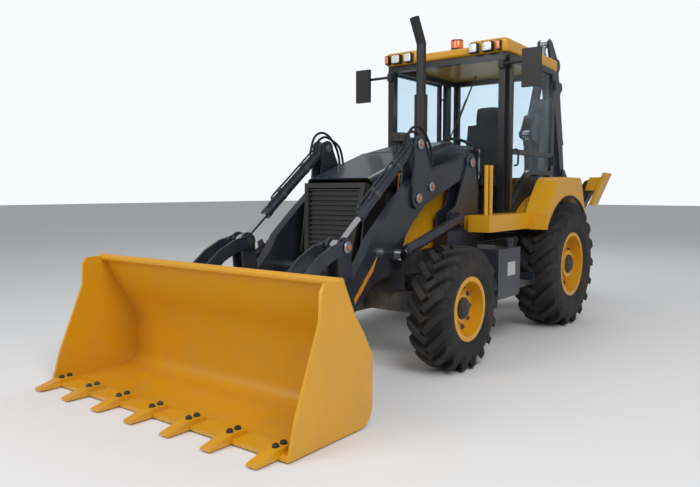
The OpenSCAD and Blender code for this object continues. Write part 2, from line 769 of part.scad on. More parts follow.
// Tyre on the left side: carcass turned about the axle, with slanted lugs cut from an envelope
module tyre(x, r, w, seat, face) {
    c = face - w / 2;
    b = seat + round_gap;
    rc = r - lug_h;
    turned([[b, c - 0.4 * w], [b, c + 0.4 * w], [b + flange_h + 4, c + 0.4 * w],
        [b + flange_h + 4, c + 0.44 * w], [b + 60, c + 0.475 * w], [r - 130, c + 0.485 * w],
        [rc - 35, c + 0.44 * w], [rc - 8, c + 0.3 * w], [rc, c], [rc - 8, c - 0.3 * w],
        [rc - 35, c - 0.44 * w], [r - 130, c - 0.485 * w], [b + 60, c - 0.475 * w],
        [b + flange_h + 4, c - 0.44 * w], [b + flange_h + 4, c - 0.4 * w]], x, r);
    intersection() {
        turned([[r - 105, c - 0.5 * w], [r - 45, c - 0.48 * w], [r - 8, c - 0.4 * w], [r, c - 0.3 * w],
            [r, c + 0.3 * w], [r - 8, c + 0.4 * w], [r - 45, c + 0.48 * w], [r - 105, c + 0.5 * w],
            [r - 115, c + 0.44 * w], [rc - 45, c + 0.38 * w], [rc - 20, c], [rc - 45, c - 0.38 * w],
            [r - 115, c - 0.44 * w]], x, r);
        for (i = [0 : lug_count - 1], s = [-1, 1])
            translate([x, c, r]) rotate([0, (i + s / 4) * 360 / lug_count, 0])
                translate([r - 55, s * 0.25 * w, 0]) rotate([s * 45, 0, 0])
                    cube([150, 0.74 * w, lug_w], center = true);
    }
}

// Rim on the left side with its disc and hub, bored for the spindle
module rim(x, r, w, seat, face, disc_y, hub_r, bore_r, bore_end) {
    c = face - w / 2;
    e = 0.4 * w + 1;
    f = 0.42 * w;
    turned([[seat - 14, c - f], [seat - 14, disc_y], [bore_r, disc_y - 45], [bore_r, bore_end],
        [0, bore_end], [0, bore_end + 15], [hub_r, bore_end + 15], [hub_r + 12, disc_y + 18],
        [seat - 14, disc_y + 18], [seat - 14, c + f], [seat + flange_h, c + f], [seat + flange_h, c + e],
        [seat, c + e], [seat, c - e], [seat + flange_h, c - e], [seat + flange_h, c - f]], x, r);
}

module front_tyre() {
    tyre(wheelbase, front_tyre_r, front_tyre_w, front_seat_r, front_face_y);
}

module front_rim() {
    rim(wheelbase, front_tyre_r, front_tyre_w, front_seat_r, front_face_y, 950, 110,
        spindle_r + pin_gap, king_pin_y + 185);
}

module rear_tyre() {
    tyre(0, rear_tyre_r, rear_tyre_w, rear_seat_r, rear_face_y);
}

module rear_rim() {
    rim(0, rear_tyre_r, rear_tyre_w, rear_seat_r, rear_face_y, 930, 140, 70 + pin_gap, 1005);
}

module tyre_fl() {
    color("Black") place() front_tyre();
}

module rim_fl() {
    color("Gold") place() front_rim();
}

module tyre_fr() {
    color("Black") place() mirror([0, 1, 0]) front_tyre();
}

module rim_fr() {
    color("Gold") place() mirror([0, 1, 0]) front_rim();
}

module tyre_rl() {
    color("Black") place() rear_tyre();
}

module rim_rl() {
    color("Gold") place() rear_rim();
}

module tyre_rr() {
    color("Black") place() mirror([0, 1, 0]) rear_tyre();
}

module rim_rr() {
    color("Gold") place() mirror([0, 1, 0]) rear_rim();
}

// Left door frame with its two window openings
module door() {
    difference() {
        union() {
            plate(concat(above_fender([[-300, 27], [280, 27], [360, 2], [460, -73], [580, -213], [660, -333],
                [790, -333]]), [[790, 2690], [-300, 2690]]), door_y, door_t);
            for (z = hinge_z) translate([hinge_x, hinge_y, z + 2]) cylinder(r = hinge_r, h = 76);
        }
        for (z = hinge_z) translate([hinge_x, hinge_y, 0]) {
            translate([0, 0, z - 24]) cylinder(r = hinge_r + side_gap, h = 26);
            translate([0, 0, z - 24]) cylinder(r = hinge_pin_r + pin_gap, h = 120);
        }
        plate(door_upper, door_y - 1, door_t + 2);
        plate(door_lower, door_y - 1, door_t + 2);
    }
}

// Left door's two panes, seal_gap smaller than their openings
module door_panes() {
    for (o = [door_upper, door_lower])
        plate(offset_closed(o, seal_gap), door_y + door_t / 2 - glass_t / 2, glass_t);
}

module door_l() {
    color("MidnightBlue") place() door();
}

module door_glass_l() {
    color("SteelBlue", 0.5) place() door_panes();
}

module door_r() {
    color("MidnightBlue") place() mirror([0, 1, 0]) door();
}

module door_glass_r() {
    color("SteelBlue", 0.5) place() mirror([0, 1, 0]) door_panes();
}

// Both loader arms and the tube that joins them
module arms() {
    color("MidnightBlue") place() difference() {
        union() {
            both_sides() {
                plate([[1265, 1740], [1340, 1700], [2000, 1556], [2235, 1482], [2560, 1240], [2815, 1030],
                    [2905, 900], [3030, 780], [3330, 500], [3625, 286], [3585, 195], [3030, 495],
                    [2965, 552], [2800, 684], [2404, 780], [2380, 960], [2340, 1040], [2226, 1145],
                    [2030, 1287], [1240, 1562]], arm_in, arm_w);
                cross_pin(arm_pivot, arm_in, arm_out, 90);
                cross_pin(bracket_pivot, arm_in, arm_out, 75);
                cross_pin(bucket_pivot, arm_in, arm_out, 48);
                cross_pin(lift_eye, arm_out - 1, lift_y - 30, 45);
            }
            cross_pin([2800, 762], -arm_in - 1, arm_in + 1, 60);
        }
        both_sides() for (p = [arm_pivot, bracket_pivot, bracket_foot, lever_pivot, bucket_pivot])
            arm_bore(p, pin_gap);
    }
}

// Brackets on the arms that carry the tilt cylinders
module tilt_brackets() {
    color("MidnightBlue") place() both_sides() {
        difference() {
            for (y = [arm_y - plate_off - link_t, arm_y + plate_off]) {
                link(bracket_top, bracket_pivot, 70, 90, y, link_t);
                link(bracket_top, bracket_foot, 60, 70, y, link_t);
                link(bracket_pivot, bracket_foot, 90, 70, y, link_t);
            }
            arm_bore(bracket_top, pin_gap);
        }
        arm_pin(bracket_pivot, plate_off + link_t + 6);
        arm_pin(bracket_foot, plate_off + link_t + 6);
    }
}

// Levers on the arms that carry the tilt rods
module levers() {
    color("MidnightBlue") place() both_sides() difference() {
        links_beside_arm(tilt_pin, lever_pivot, 70, 75, plate_off);
        arm_bore(tilt_pin, pin_gap);
        arm_bore(lever_pivot, pin_gap);
    }
}

// Curved links from the levers to the bucket
module tilt_links() {
    color("MidnightBlue") place() both_sides() difference() {
        union() {
            beside_arm(tilt_link_outline, outer_off);
            for (p = [tilt_pin, bucket_pin], y = [arm_y - outer_off - link_t, arm_y + outer_off])
                cross_pin(p, y, y + link_t, 58);
        }
        arm_bore(tilt_pin, pin_gap);
        arm_bore(bucket_pin, pin_gap);
    }
}

// Tilt cylinders
module tilt_barrels() {
    color("Silver") place() both_sides()
        barrel(bracket_top, tilt_pin, arm_y, tilt_barrel_r, tilt_rod_r + rod_gap, 70, 940, 58, 60);
}

module tilt_rods() {
    color("Silver") place() both_sides() rod(bracket_top, tilt_pin, arm_y, tilt_rod_r, 300, 52, 60);
}

// Lift cylinders
module lift_barrels() {
    color("Silver") place() both_sides()
        barrel(lift_base, lift_eye, lift_y, lift_barrel_r, lift_rod_r + rod_gap, 70, 880, 56, 54);
}

module lift_rods() {
    color("Silver") place() both_sides() rod(lift_base, lift_eye, lift_y, lift_rod_r, 85, 46, 58);
}

// One loader bucket tooth
module tooth() {
    plate([[4300, 36], [4320, 62], [4420, 62], [4470, 52], [tooth_tip_x, 22], [tooth_tip_x, 10],
        [4460, 8], [4425, 10]], -tooth_w / 2, tooth_w);
}

// Loader bucket with its ears and teeth
module loader_bucket() {
    color("Gold") place() {
        difference() {
            union() {
                plate(sheet(bucket_path, bucket_wall), -bucket_half_w, 2 * bucket_half_w);
                both_sides() plate(concat(bucket_path, [[4361, 222], [4167, 696], [4158, 856], [4128, 900]]),
                    bucket_half_w - bucket_side, bucket_side);
                plate([[4290, 10], [4431, 10], [4431, 35], [4290, 35]], -bucket_half_w, 2 * bucket_half_w);
                cross_pin([3990, 893], -bucket_half_w, bucket_half_w, 26);
                both_sides() {
                    beside_arm([[3600, 190], [3575, 260], [3640, 700], [3700, 742], [3860, 700], [3790, 590],
                        [3705, 430], [3705, 150]], plate_off);
                    for (y = [arm_y - plate_off - link_t, arm_y + plate_off]) {
                        cross_pin(bucket_pivot, y, y + link_t, 68);
                        cross_pin(bucket_pin, y, y + link_t, 60);
                    }
                }
                for (i = [0 : tooth_count - 1])
                    translate([0, (i - (tooth_count - 1) / 2) * tooth_pitch, 0]) tooth();
            }
            both_sides() arm_bore(bucket_pivot, pin_gap);
        }
        both_sides() for (y = [arm_y - outer_off - link_t - 6, arm_y + plate_off])
            cross_pin(bucket_pin, y, y + outer_off - plate_off + link_t + 6, pin_r);
    }
}

// Loose pins of the loader linkage
module pin_bracket() {
    color("Silver") place() both_sides() arm_pin(bracket_top, plate_off + link_t + 7);
}

module pin_tilt() {
    color("Silver") place() both_sides() for (y = [arm_y - outer_off - link_t - 6, arm_y + plate_off - 3])
        cross_pin(tilt_pin, y, y + outer_off - plate_off + link_t + 9, pin_r);
}

module pin_lever() {
    color("Silver") place() both_sides() arm_pin(lever_pivot, plate_off + link_t + 7);
}

module pin_bucket() {
    color("Silver") place() both_sides() arm_pin(bucket_pivot, plate_off + link_t + 7);
}

// Swing post between the frame's lugs
module swing_post() {
    color("MidnightBlue") place() {
        translate([swing_x, 0, lug_z1 + lug_t + side_gap])
            cylinder(r = 108, h = lug_z2 - lug_z1 - lug_t - 2 * side_gap);
        translate([swing_x, 0, lug_z1 - 8]) cylinder(r = swing_pin_r, h = lug_z2 - lug_z1 + lug_t + 16);
        hoe_plates([[-1380, 610], [-1380, 955], [-1535, 955], [-1535, 1090], [-1430, 1110], [-1345, 1140],
            [-1345, 1190], [-1400, 1225], [-1560, 1200], [-1690, 930], [-1695, 740], [-1620, 660]],
            boom_half_w + side_gap, boom_half_w + side_gap + 25);
        box([-1500, -boom_half_w - 10, 620], [-1400, boom_half_w + 10, 950]);
        hoe_bosses(boom_foot, boom_half_w + side_gap, boom_half_w + side_gap + 32, 85);
        hoe_bosses(boom_base_pin, hoe_eye + side_gap, boom_half_w + side_gap + 30, 58);
        cross_pin(boom_foot, -boom_half_w - 30, boom_half_w + 30, 45);
        cross_pin(boom_base_pin, -boom_half_w - 30, boom_half_w + 30, pin_r);
    }
}

// Boom with the cheeks at its head and the bracket for the cylinders
module boom() {
    color("MidnightBlue") place() {
        difference() {
            union() {
                plate([[-1515, 790], [-1505, 1000], [-1445, 1400], [-1430, 1750], [-1500, 2200],
                    [-1590, 2435], [-1700, 2550], [-1790, 2605], [-1840, 2590], [-1760, 2380], [-1690, 2000],
                    [-1675, 1700], [-1690, 1200], [-1690, 790]], -boom_half_w, 2 * boom_half_w);
                cross_pin(boom_foot, -boom_half_w, boom_half_w, 88);
            }
            cross_pin(boom_foot, -200, 200, 45 + pin_gap);
        }
        hoe_plates([[-1560, 2350], [-1720, 2650], [-1880, 3060], [-1900, 3110], [-1960, 3145],
            [-2050, 3120], [-2075, 3040], [-1850, 2560], [-1740, 2330]],
            dipper_half_w + side_gap, dipper_half_w + side_gap + 25);
        hoe_bosses(boom_head, dipper_half_w + side_gap, dipper_half_w + side_gap + 34, 80);
        cross_pin(boom_head, -dipper_half_w - 36, dipper_half_w + 36, 45);
        hoe_plates([[-1540, 1960], [-1540, 2400], [-1340, 2345], [-1310, 2290], [-1225, 2130],
            [-1240, 2060]], hoe_eye + side_gap, hoe_eye + side_gap + 22);
        cross_pin(dip_base_pin, -hoe_eye - 34, hoe_eye + 34, pin_r);
        hoe_bosses(boom_rod_pin, hoe_eye + side_gap, hoe_eye + side_gap + 34, 55);
    }
}

// Dipper with its forked head, cylinder lugs and the pins at its lower end
module dipper() {
    color("MidnightBlue") place() {
        difference() {
            union() {
                plate([dip_pt(-10, 50), dip_pt(600, 76), dip_pt(1300, 112), dip_pt(1700, 112),
                    dip_pt(1900, 90), dip_pt(2120, -40), dip_pt(2165, -110), dip_pt(2110, -165),
                    dip_pt(1950, -150), dip_pt(1800, -120), dip_pt(1300, -112), dip_pt(600, -80),
                    dip_pt(-10, -50)], -dipper_half_w, 2 * dipper_half_w);
                cross_pin(dig_pivot, -dipper_half_w, dipper_half_w, 66);
                cross_pin(boom_head, -dipper_half_w, dipper_half_w, 100);
            }
            cross_pin(boom_head, -200, 200, 45 + pin_gap);
            plate([dip_pt(1864, -400), dip_pt(1864, 300), dip_pt(2400, 300), dip_pt(2400, -400)],
                -hoe_eye - side_gap, 2 * (hoe_eye + side_gap));
        }
        cross_pin(dig_pivot, -ear_out - 6, ear_out + 6, 40);
        cross_pin(toggle_pivot, -toggle_out - 6, toggle_out + 6, 30);
        hoe_plates([dip_pt(1380, 90), dip_pt(1460, 235), dip_pt(1540, 235), dip_pt(1600, 90)],
            hoe_eye + side_gap, hoe_eye + side_gap + 20);
        cross_pin(dig_base_pin, -hoe_eye - 30, hoe_eye + 30, pin_r);
        hoe_bosses(dip_rod_pin, hoe_eye + side_gap, dipper_half_w, 55);
    }
}

// One tooth of the digging bucket
module dig_tooth() {
    tip = dig_pt(0, 650);
    d = (tip - dig_pt(20, 630)) / norm(tip - dig_pt(20, 630));
    n = [-d[1], d[0]];
    plate([tip - 90 * d - 6 * n, tip + 20 * d - 10 * n, tip + 90 * d + 2 * n, tip + 90 * d + 10 * n,
        tip + 10 * d + 28 * n, tip - 90 * d + 26 * n], -32, 64);
}

// Digging bucket with its ears and teeth
module dig_bucket() {
    color("DimGray") place() {
        difference() {
            union() {
                plate(sheet(dig_path, dig_wall), -dig_half_w, 2 * dig_half_w);
                hoe_plates(dig_path, dig_half_w - dig_wall, dig_half_w);
                hoe_plates([dig_pivot + [30, 55], dig_pivot - [40, 40], dig_pin + [-40, 40],
                    dig_pin - [40, 40],
                    dig_pt(95, 360), dig_pt(92, 340), dig_pt(52, 125), dig_pt(40, 100)], ear_in, ear_out);
                hoe_bosses(dig_pivot, dipper_half_w + side_gap, ear_out, 68);
                hoe_bosses(dig_pin, ear_in, ear_out, ear_r);
                for (i = [-2 : 2]) translate([0, i * (dig_half_w - 34) / 2, 0]) dig_tooth();
            }
            cross_pin(dig_pivot, -200, 200, 40 + pin_gap);
        }
        hoe_bosses(dig_pin, toggle_out + side_gap - 3, ear_out + 4, 30);
    }
}

// Boom cylinder
module boom_barrel() {
    color("Silver") place()
        barrel(boom_base_pin, boom_rod_pin, 0, hoe_barrel_r, hoe_rod_r + rod_gap, 70, 880, 54, 2 * hoe_eye);
}

module boom_rod() {
    color("Silver") place() rod(boom_base_pin, boom_rod_pin, 0, hoe_rod_r, 85, 48, 2 * hoe_eye);
}

// Dipper cylinder
module dip_barrel() {
    color("Silver") place()
        barrel(dip_base_pin, dip_rod_pin, 0, hoe_barrel_r, hoe_rod_r + rod_gap, 70, 595, 54, 2 * hoe_eye);
}

module dip_rod() {
    color("Silver") place() rod(dip_base_pin, dip_rod_pin, 0, hoe_rod_r, 530, 48, 2 * hoe_eye);
}

// Digging bucket's cylinder
module dig_barrel() {
    color("Silver") place()
        barrel(dig_base_pin, toggle_end, 0, hoe_barrel_r, hoe_rod_r + rod_gap, 70, 790, 54, 2 * hoe_eye);
}

module dig_rod() {
    color("Silver") place() rod(dig_base_pin, toggle_end, 0, hoe_rod_r, 640, 45, 2 * hoe_eye);
}

// Levers beside the dipper that the bucket cylinder turns
module toggle_levers() {
    color("MidnightBlue") place() {
        difference() {
            hoe_links(toggle_pivot, toggle_end, 58, 52, toggle_in, toggle_out);
            cross_pin(toggle_pivot, -200, 200, 30 + pin_gap);
        }
        hoe_bosses(toggle_end, hoe_eye + side_gap, push_out + 6, 30);
    }
}

// Links from the levers to the digging bucket
module push_link() {
    color("MidnightBlue") place() difference() {
        hoe_links(toggle_end, dig_pin, 52, 52, push_in, push_out);
        for (p = [toggle_end, dig_pin]) cross_pin(p, -200, 200, 30 + pin_gap);
    }
}

// Left stabiliser leg, folded up, with its pad
module stabiliser() {
    difference() {
        union() {
            translate([stab_x - stab_d, 0, 0]) rotate([90, 0, 90]) linear_extrude(stab_d) {
                polygon(link_outline([stab_y, stab_z], pad_pin, 85, 60));
                translate([stab_y, stab_z]) circle(85);
                translate(pad_pin) circle(60);
            }
            across([pad_pin + [-30, -60], pad_pin + [95, -60], pad_pin + [158, 90], pad_pin + [20, 90]],
                stab_x - stab_d - 20, stab_x + 20);
            across([[950, 1240], [985, 1226], [1135, 1586], [1100, 1600]], stab_x - stab_d - 35, stab_x + 35);
        }
        long_pin(stab_y, stab_z, -1100, -700, pin_r + pin_gap);
    }
}

module stab_l() {
    color("DimGray") place() stabiliser();
}

module stab_r() {
    color("DimGray") place() mirror([0, 1, 0]) stabiliser();
}

main_frame();
tie_downs();
towers();
axles();
engine();
cowl();
hood();
grille();
side_panels();
exhaust();
cab_frame();
roof();
glass();
seat();
controls();
fenders();
tanks();
lamps();
mirrors();
knuckle_l();
knuckle_r();
tyre_fl();
rim_fl();
tyre_fr();
rim_fr();
tyre_rl();
rim_rl();
tyre_rr();
rim_rr();
door_l();
door_glass_l();
door_r();
door_glass_r();
arms();
tilt_brackets();
levers();
tilt_links();
tilt_barrels();
tilt_rods();
lift_barrels();
lift_rods();
loader_bucket();
pin_bracket();
pin_tilt();
pin_lever();
pin_bucket();
swing_post();
boom();
dipper();
dig_bucket();
boom_barrel();
boom_rod();
dip_barrel();
dip_rod();
dig_barrel();
dig_rod();
toggle_levers();
push_link();
stab_l();
stab_r();
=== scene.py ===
# %% [markdown]
# # Dressing a backhoe loader
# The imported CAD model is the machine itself: every plate, pin and cylinder is already in place and moves
# with its own body. This lesson gives it its looks. Large plates are copied and get round edges, the tyres
# get their lugs, and paint, rubber, glass and chrome become procedural materials. Small things that no CAD
# model needs, such as pipes, bolts, lenses and stripes, are worked out as numpy surfaces.

# %% Load the frame
import json
import math

import bmesh
import bpy
import numpy as np
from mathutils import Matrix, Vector


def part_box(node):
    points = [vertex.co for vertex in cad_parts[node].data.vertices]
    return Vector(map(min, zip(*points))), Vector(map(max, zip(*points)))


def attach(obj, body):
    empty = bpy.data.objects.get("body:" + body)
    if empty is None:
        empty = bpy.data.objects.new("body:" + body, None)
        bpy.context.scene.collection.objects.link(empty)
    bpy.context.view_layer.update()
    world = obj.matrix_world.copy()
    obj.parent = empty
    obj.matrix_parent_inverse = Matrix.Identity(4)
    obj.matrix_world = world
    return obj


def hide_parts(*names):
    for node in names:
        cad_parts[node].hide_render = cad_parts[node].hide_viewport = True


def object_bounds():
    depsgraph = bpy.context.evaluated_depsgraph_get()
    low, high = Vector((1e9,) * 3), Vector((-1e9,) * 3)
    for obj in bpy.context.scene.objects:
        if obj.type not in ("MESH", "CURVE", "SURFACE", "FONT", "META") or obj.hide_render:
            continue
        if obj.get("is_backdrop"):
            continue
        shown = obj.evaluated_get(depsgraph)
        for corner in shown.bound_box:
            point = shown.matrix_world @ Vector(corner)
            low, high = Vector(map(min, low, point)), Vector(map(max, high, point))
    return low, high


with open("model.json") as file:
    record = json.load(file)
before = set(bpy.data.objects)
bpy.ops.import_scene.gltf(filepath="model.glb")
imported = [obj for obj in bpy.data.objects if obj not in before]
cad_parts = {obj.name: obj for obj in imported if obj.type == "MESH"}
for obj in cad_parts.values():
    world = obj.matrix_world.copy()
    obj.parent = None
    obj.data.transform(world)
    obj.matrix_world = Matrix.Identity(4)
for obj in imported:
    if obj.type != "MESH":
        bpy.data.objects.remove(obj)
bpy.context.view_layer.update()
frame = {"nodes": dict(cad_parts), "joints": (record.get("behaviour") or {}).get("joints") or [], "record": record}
BODY_OF = {n: b for b, ns in frame["record"]["behaviour"]["bodies"].items() for n in ns}
JOINT = {j["name"]: j for j in frame["joints"]}
REAR_AXLE = (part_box("rim_rl")[0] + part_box("rim_rl")[1]) / 2


def station(x):
    """Row-frame x of a place given in metres ahead of the rear axle."""
    return REAR_AXLE.x + x


def pivot(joint):
    """Place of a joint's pin in the row frame."""
    return np.array(JOINT[joint]["pos_m"])


# %% [markdown]
# ## Surfaces from arrays
# A surface is a function of two parameters on a grid. The points come as one array, and the quads that join
# them come from index arithmetic, so no loop runs over vertices. A closed direction joins its last row to
# its first.


# %% Grid helpers
def grid_faces(nu, nv, close_u=False, close_v=False):
    """Quads of a grid: each joins (i, j), (i+1, j), (i+1, j+1) and (i, j+1)."""
    i, j = np.meshgrid(np.arange(nu - (not close_u)), np.arange(nv - (not close_v)), indexing="ij")
    i, j = i.ravel(), j.ravel()
    i2, j2 = (i + 1) % nu, (j + 1) % nv
    return np.stack([i * nv + j, i2 * nv + j, i2 * nv + j2, i * nv + j2], 1)


def solid(points, close_u=False, close_v=True):
    """Vertices and faces of a swept solid: a grid of rings with a flat cap on its first and last ring."""
    nu, nv = points.shape[:2]
    faces = [tuple(f) for f in grid_faces(nu, nv, close_u, close_v).tolist()]
    if not close_u:
        faces += [tuple(range(nv)), tuple(range(nu * nv - 1, (nu - 1) * nv - 1, -1))]
    return points.reshape(-1, 3), faces


def gather(parts):
    """Several (vertices, faces) pairs as one pair."""
    start = np.cumsum([0] + [len(v) for v, _ in parts])
    faces = [tuple(int(k) + int(s) for k in f) for (_, fs), s in zip(parts, start) for f in fs]
    return np.concatenate([v for v, _ in parts]), faces


print("a ring of 3 by 4 points has", len(grid_faces(3, 4, close_v=True)), "quads")

# %% [markdown]
# ### From arrays to pieces
# Blender keeps a surface as a mesh inside an object. Every new piece goes through one function: it writes
# the arrays into a mesh, closes the seams, turns all faces outwards and lets the piece ride on a body of
# the machine. Doing this in one place means that no piece can forget a step. The machine is the same on
# both sides, so most shapes are worked out for the left and mirrored.


# %% Pieces and their mirror images
def piece(name, shape, body, material, angle=35):
    """A mesh object that rides on a body: outward normals, smooth faces with creases over the angle."""
    mesh = bpy.data.meshes.new(name)
    mesh.from_pydata(np.asarray(shape[0], float).tolist(), [], list(shape[1]))
    work = bmesh.new()
    work.from_mesh(mesh)
    bmesh.ops.remove_doubles(work, verts=work.verts, dist=1e-6)
    bmesh.ops.recalc_face_normals(work, faces=work.faces)
    work.to_mesh(mesh)
    work.free()
    mesh.shade_smooth()
    mesh.set_sharp_from_angle(angle=math.radians(angle))
    mesh.materials.append(material)
    obj = bpy.data.objects.new(name, mesh)
    bpy.context.scene.collection.objects.link(obj)
    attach(obj, body)
    return obj


def mirrored(shape):
    """The shape's mirror image on the machine's right side."""
    return shape[0] * np.array([1, -1, 1]), [tuple(reversed(f)) for f in shape[1]]


def both_sides(*shapes):
    """Shapes of the left side together with their mirror images."""
    return gather([s for shape in shapes for s in (shape, mirrored(shape))])


print("bodies to ride on", len(set(BODY_OF.values())))

# %% [markdown]
# ### Turned shapes and bars
# Caps, nuts and lenses are turned on a lathe, and pipes and hoses are bars along a path. Blender has a
# Screw modifier and bevelled curves for these. Arrays are chosen here because the same few lines then give
# closed, even quads, and a curve's length can be measured.


# %% Turned shapes, curves and tubes
def turned(profile, centre, axis=1, steps=32):
    """A body of revolution: the profile (radius, distance) turned about a row axis through the centre."""
    t = np.linspace(0, 2 * np.pi, steps, endpoint=False)
    r, d = np.asarray(profile, float).T
    ring = np.zeros((len(r), steps, 3))
    ring[..., (axis + 1) % 3] = r[:, None] * np.cos(t)
    ring[..., (axis + 2) % 3] = r[:, None] * np.sin(t)
    ring[..., axis] = d[:, None]
    return solid(ring + np.asarray(centre, float))


def curve_through(points, per_span=8):
    """A Catmull-Rom curve: each span blends four neighbouring points with cubic weights."""
    p = np.asarray(points, float)
    p = np.concatenate([[2 * p[0] - p[1]], p, [2 * p[-1] - p[-2]]])
    t = np.linspace(0, 1, per_span, endpoint=False)[:, None, None]
    a, b, c, d = p[:-3], p[1:-2], p[2:-1], p[3:]
    q = 0.5 * (2 * b + (c - a) * t + (2 * a - 5 * b + 4 * c - d) * t**2 + (3 * b - a - 3 * c + d) * t**3)
    return np.concatenate([q.transpose(1, 0, 2).reshape(-1, 3), p[-2:-1]])


def tube(path, radius, sides=12):
    """A round bar along a path: each ring stands across the path's direction."""
    path = np.asarray(path, float)
    along = np.gradient(path, axis=0)
    along /= np.linalg.norm(along, axis=1, keepdims=True)
    side = np.cross(along, np.array([0.31, 0.87, 0.39]))
    side /= np.linalg.norm(side, axis=1, keepdims=True)
    up = np.cross(side, along)
    t = np.linspace(0, 2 * np.pi, sides, endpoint=False)[None, :, None]
    radius = np.broadcast_to(np.asarray(radius, float), (len(path),))[:, None, None]
    return solid(path[:, None] + radius * (np.cos(t) * side[:, None] + np.sin(t) * up[:, None]))


def path_length(path):
    """Sum of the distances between neighbouring points of a path."""
    return float(np.linalg.norm(np.diff(path, axis=0), axis=1).sum())


bow = curve_through([(1, 0, 0), (0, 1, 0), (-1, 0, 0)])
print("a bow 2 m wide and 1 m high is", round(path_length(bow), 3), "m long")

# %% [markdown]
# ## Shared effects
# Dust and small scratches lie on every outdoor surface. They are node groups, built once, that give out a
# mask or a height, and each material mixes them with its own colour. Dust gathers low on the machine, so
# the group reads the height from Object coordinates, which are metres above the floor here.


# %% Shader helpers
def new_group(name, inputs, outputs):
    """An empty shader group with float inputs (name, default) and float outputs."""
    group = bpy.data.node_groups.new(name, "ShaderNodeTree")
    for label, default in inputs:
        socket = group.interface.new_socket(label, in_out="INPUT", socket_type="NodeSocketFloat")
        socket.default_value = default
    for label in outputs:
        group.interface.new_socket(label, in_out="OUTPUT", socket_type="NodeSocketFloat")
    return group, group.nodes.new("NodeGroupInput"), group.nodes.new("NodeGroupOutput")


def noise(tree, scale, detail, coordinates):
    """A noise texture on the given coordinates."""
    node = tree.nodes.new("ShaderNodeTexNoise")
    node.inputs["Scale"].default_value = scale
    node.inputs["Detail"].default_value = detail
    tree.links.new(coordinates, node.inputs["Vector"])
    return node


def math_node(tree, operation, a, b):
    """One arithmetic step on two sockets or numbers."""
    node = tree.nodes.new("ShaderNodeMath")
    node.operation = operation
    for socket, value in zip(node.inputs, (a, b)):
        if isinstance(value, (int, float)):
            socket.default_value = value
        else:
            tree.links.new(value, socket)
    return node.outputs[0]


def ramp(tree, value, low, high):
    """Maps low..high of a value smoothly to 0..1."""
    node = tree.nodes.new("ShaderNodeMapRange")
    node.interpolation_type = "SMOOTHSTEP"
    node.inputs["From Min"].default_value = low
    node.inputs["From Max"].default_value = high
    tree.links.new(value, node.inputs["Value"])
    return node.outputs["Result"]


# %% [markdown]
# ### Dust and scuffs
# Dust thins out with height and lies in clouds, so its mask is a noise times a fall-off. Scuffs are the
# peaks of a fine noise. An image could show both, but noise has no seams, no fixed resolution and no size
# limit.

# %% Dust and scuffs
dust, dust_in, dust_out = new_group("dust_film", [("Amount", 0.3), ("Height", 1.2)], ["Mask"])
dust_place = dust.nodes.new("ShaderNodeTexCoord")
dust_split = dust.nodes.new("ShaderNodeSeparateXYZ")
dust.links.new(dust_place.outputs["Object"], dust_split.inputs["Vector"])
dust_share = math_node(dust, "DIVIDE", dust_split.outputs["Z"], dust_in.outputs["Height"])
dust_low = math_node(dust, "MAXIMUM", math_node(dust, "SUBTRACT", 1.0, dust_share), 0.0)
dust_cloud = ramp(dust, noise(dust, 5.0, 6.0, dust_place.outputs["Object"]).outputs["Fac"], 0.35, 0.75)
dust_mix = math_node(dust, "MULTIPLY", dust_cloud, math_node(dust, "ADD", dust_low, 0.15))
dust.links.new(math_node(dust, "MULTIPLY", dust_mix, dust_in.outputs["Amount"]), dust_out.inputs["Mask"])

scuff, scuff_in, scuff_out = new_group("fine_scuffs", [("Scale", 40.0)], ["Mask", "Height"])
scuff_place = scuff.nodes.new("ShaderNodeTexCoord")
scuff_noise = noise(scuff, 40.0, 8.0, scuff_place.outputs["Object"])
scuff.links.new(scuff_in.outputs["Scale"], scuff_noise.inputs["Scale"])
scuff.links.new(ramp(scuff, scuff_noise.outputs["Fac"], 0.62, 0.78), scuff_out.inputs["Mask"])
scuff.links.new(scuff_noise.outputs["Fac"], scuff_out.inputs["Height"])
print("groups", [g.name for g in bpy.data.node_groups])

# %% [markdown]
# ## Finishes
# Each finish starts from the paint or rubber itself and mixes in the shared dust and scuffs. Values that
# are the same all over, such as metal or coat, sit directly on the shader's sockets.

# %% Material maker
DUST_COLOUR = (0.30, 0.24, 0.17, 1)


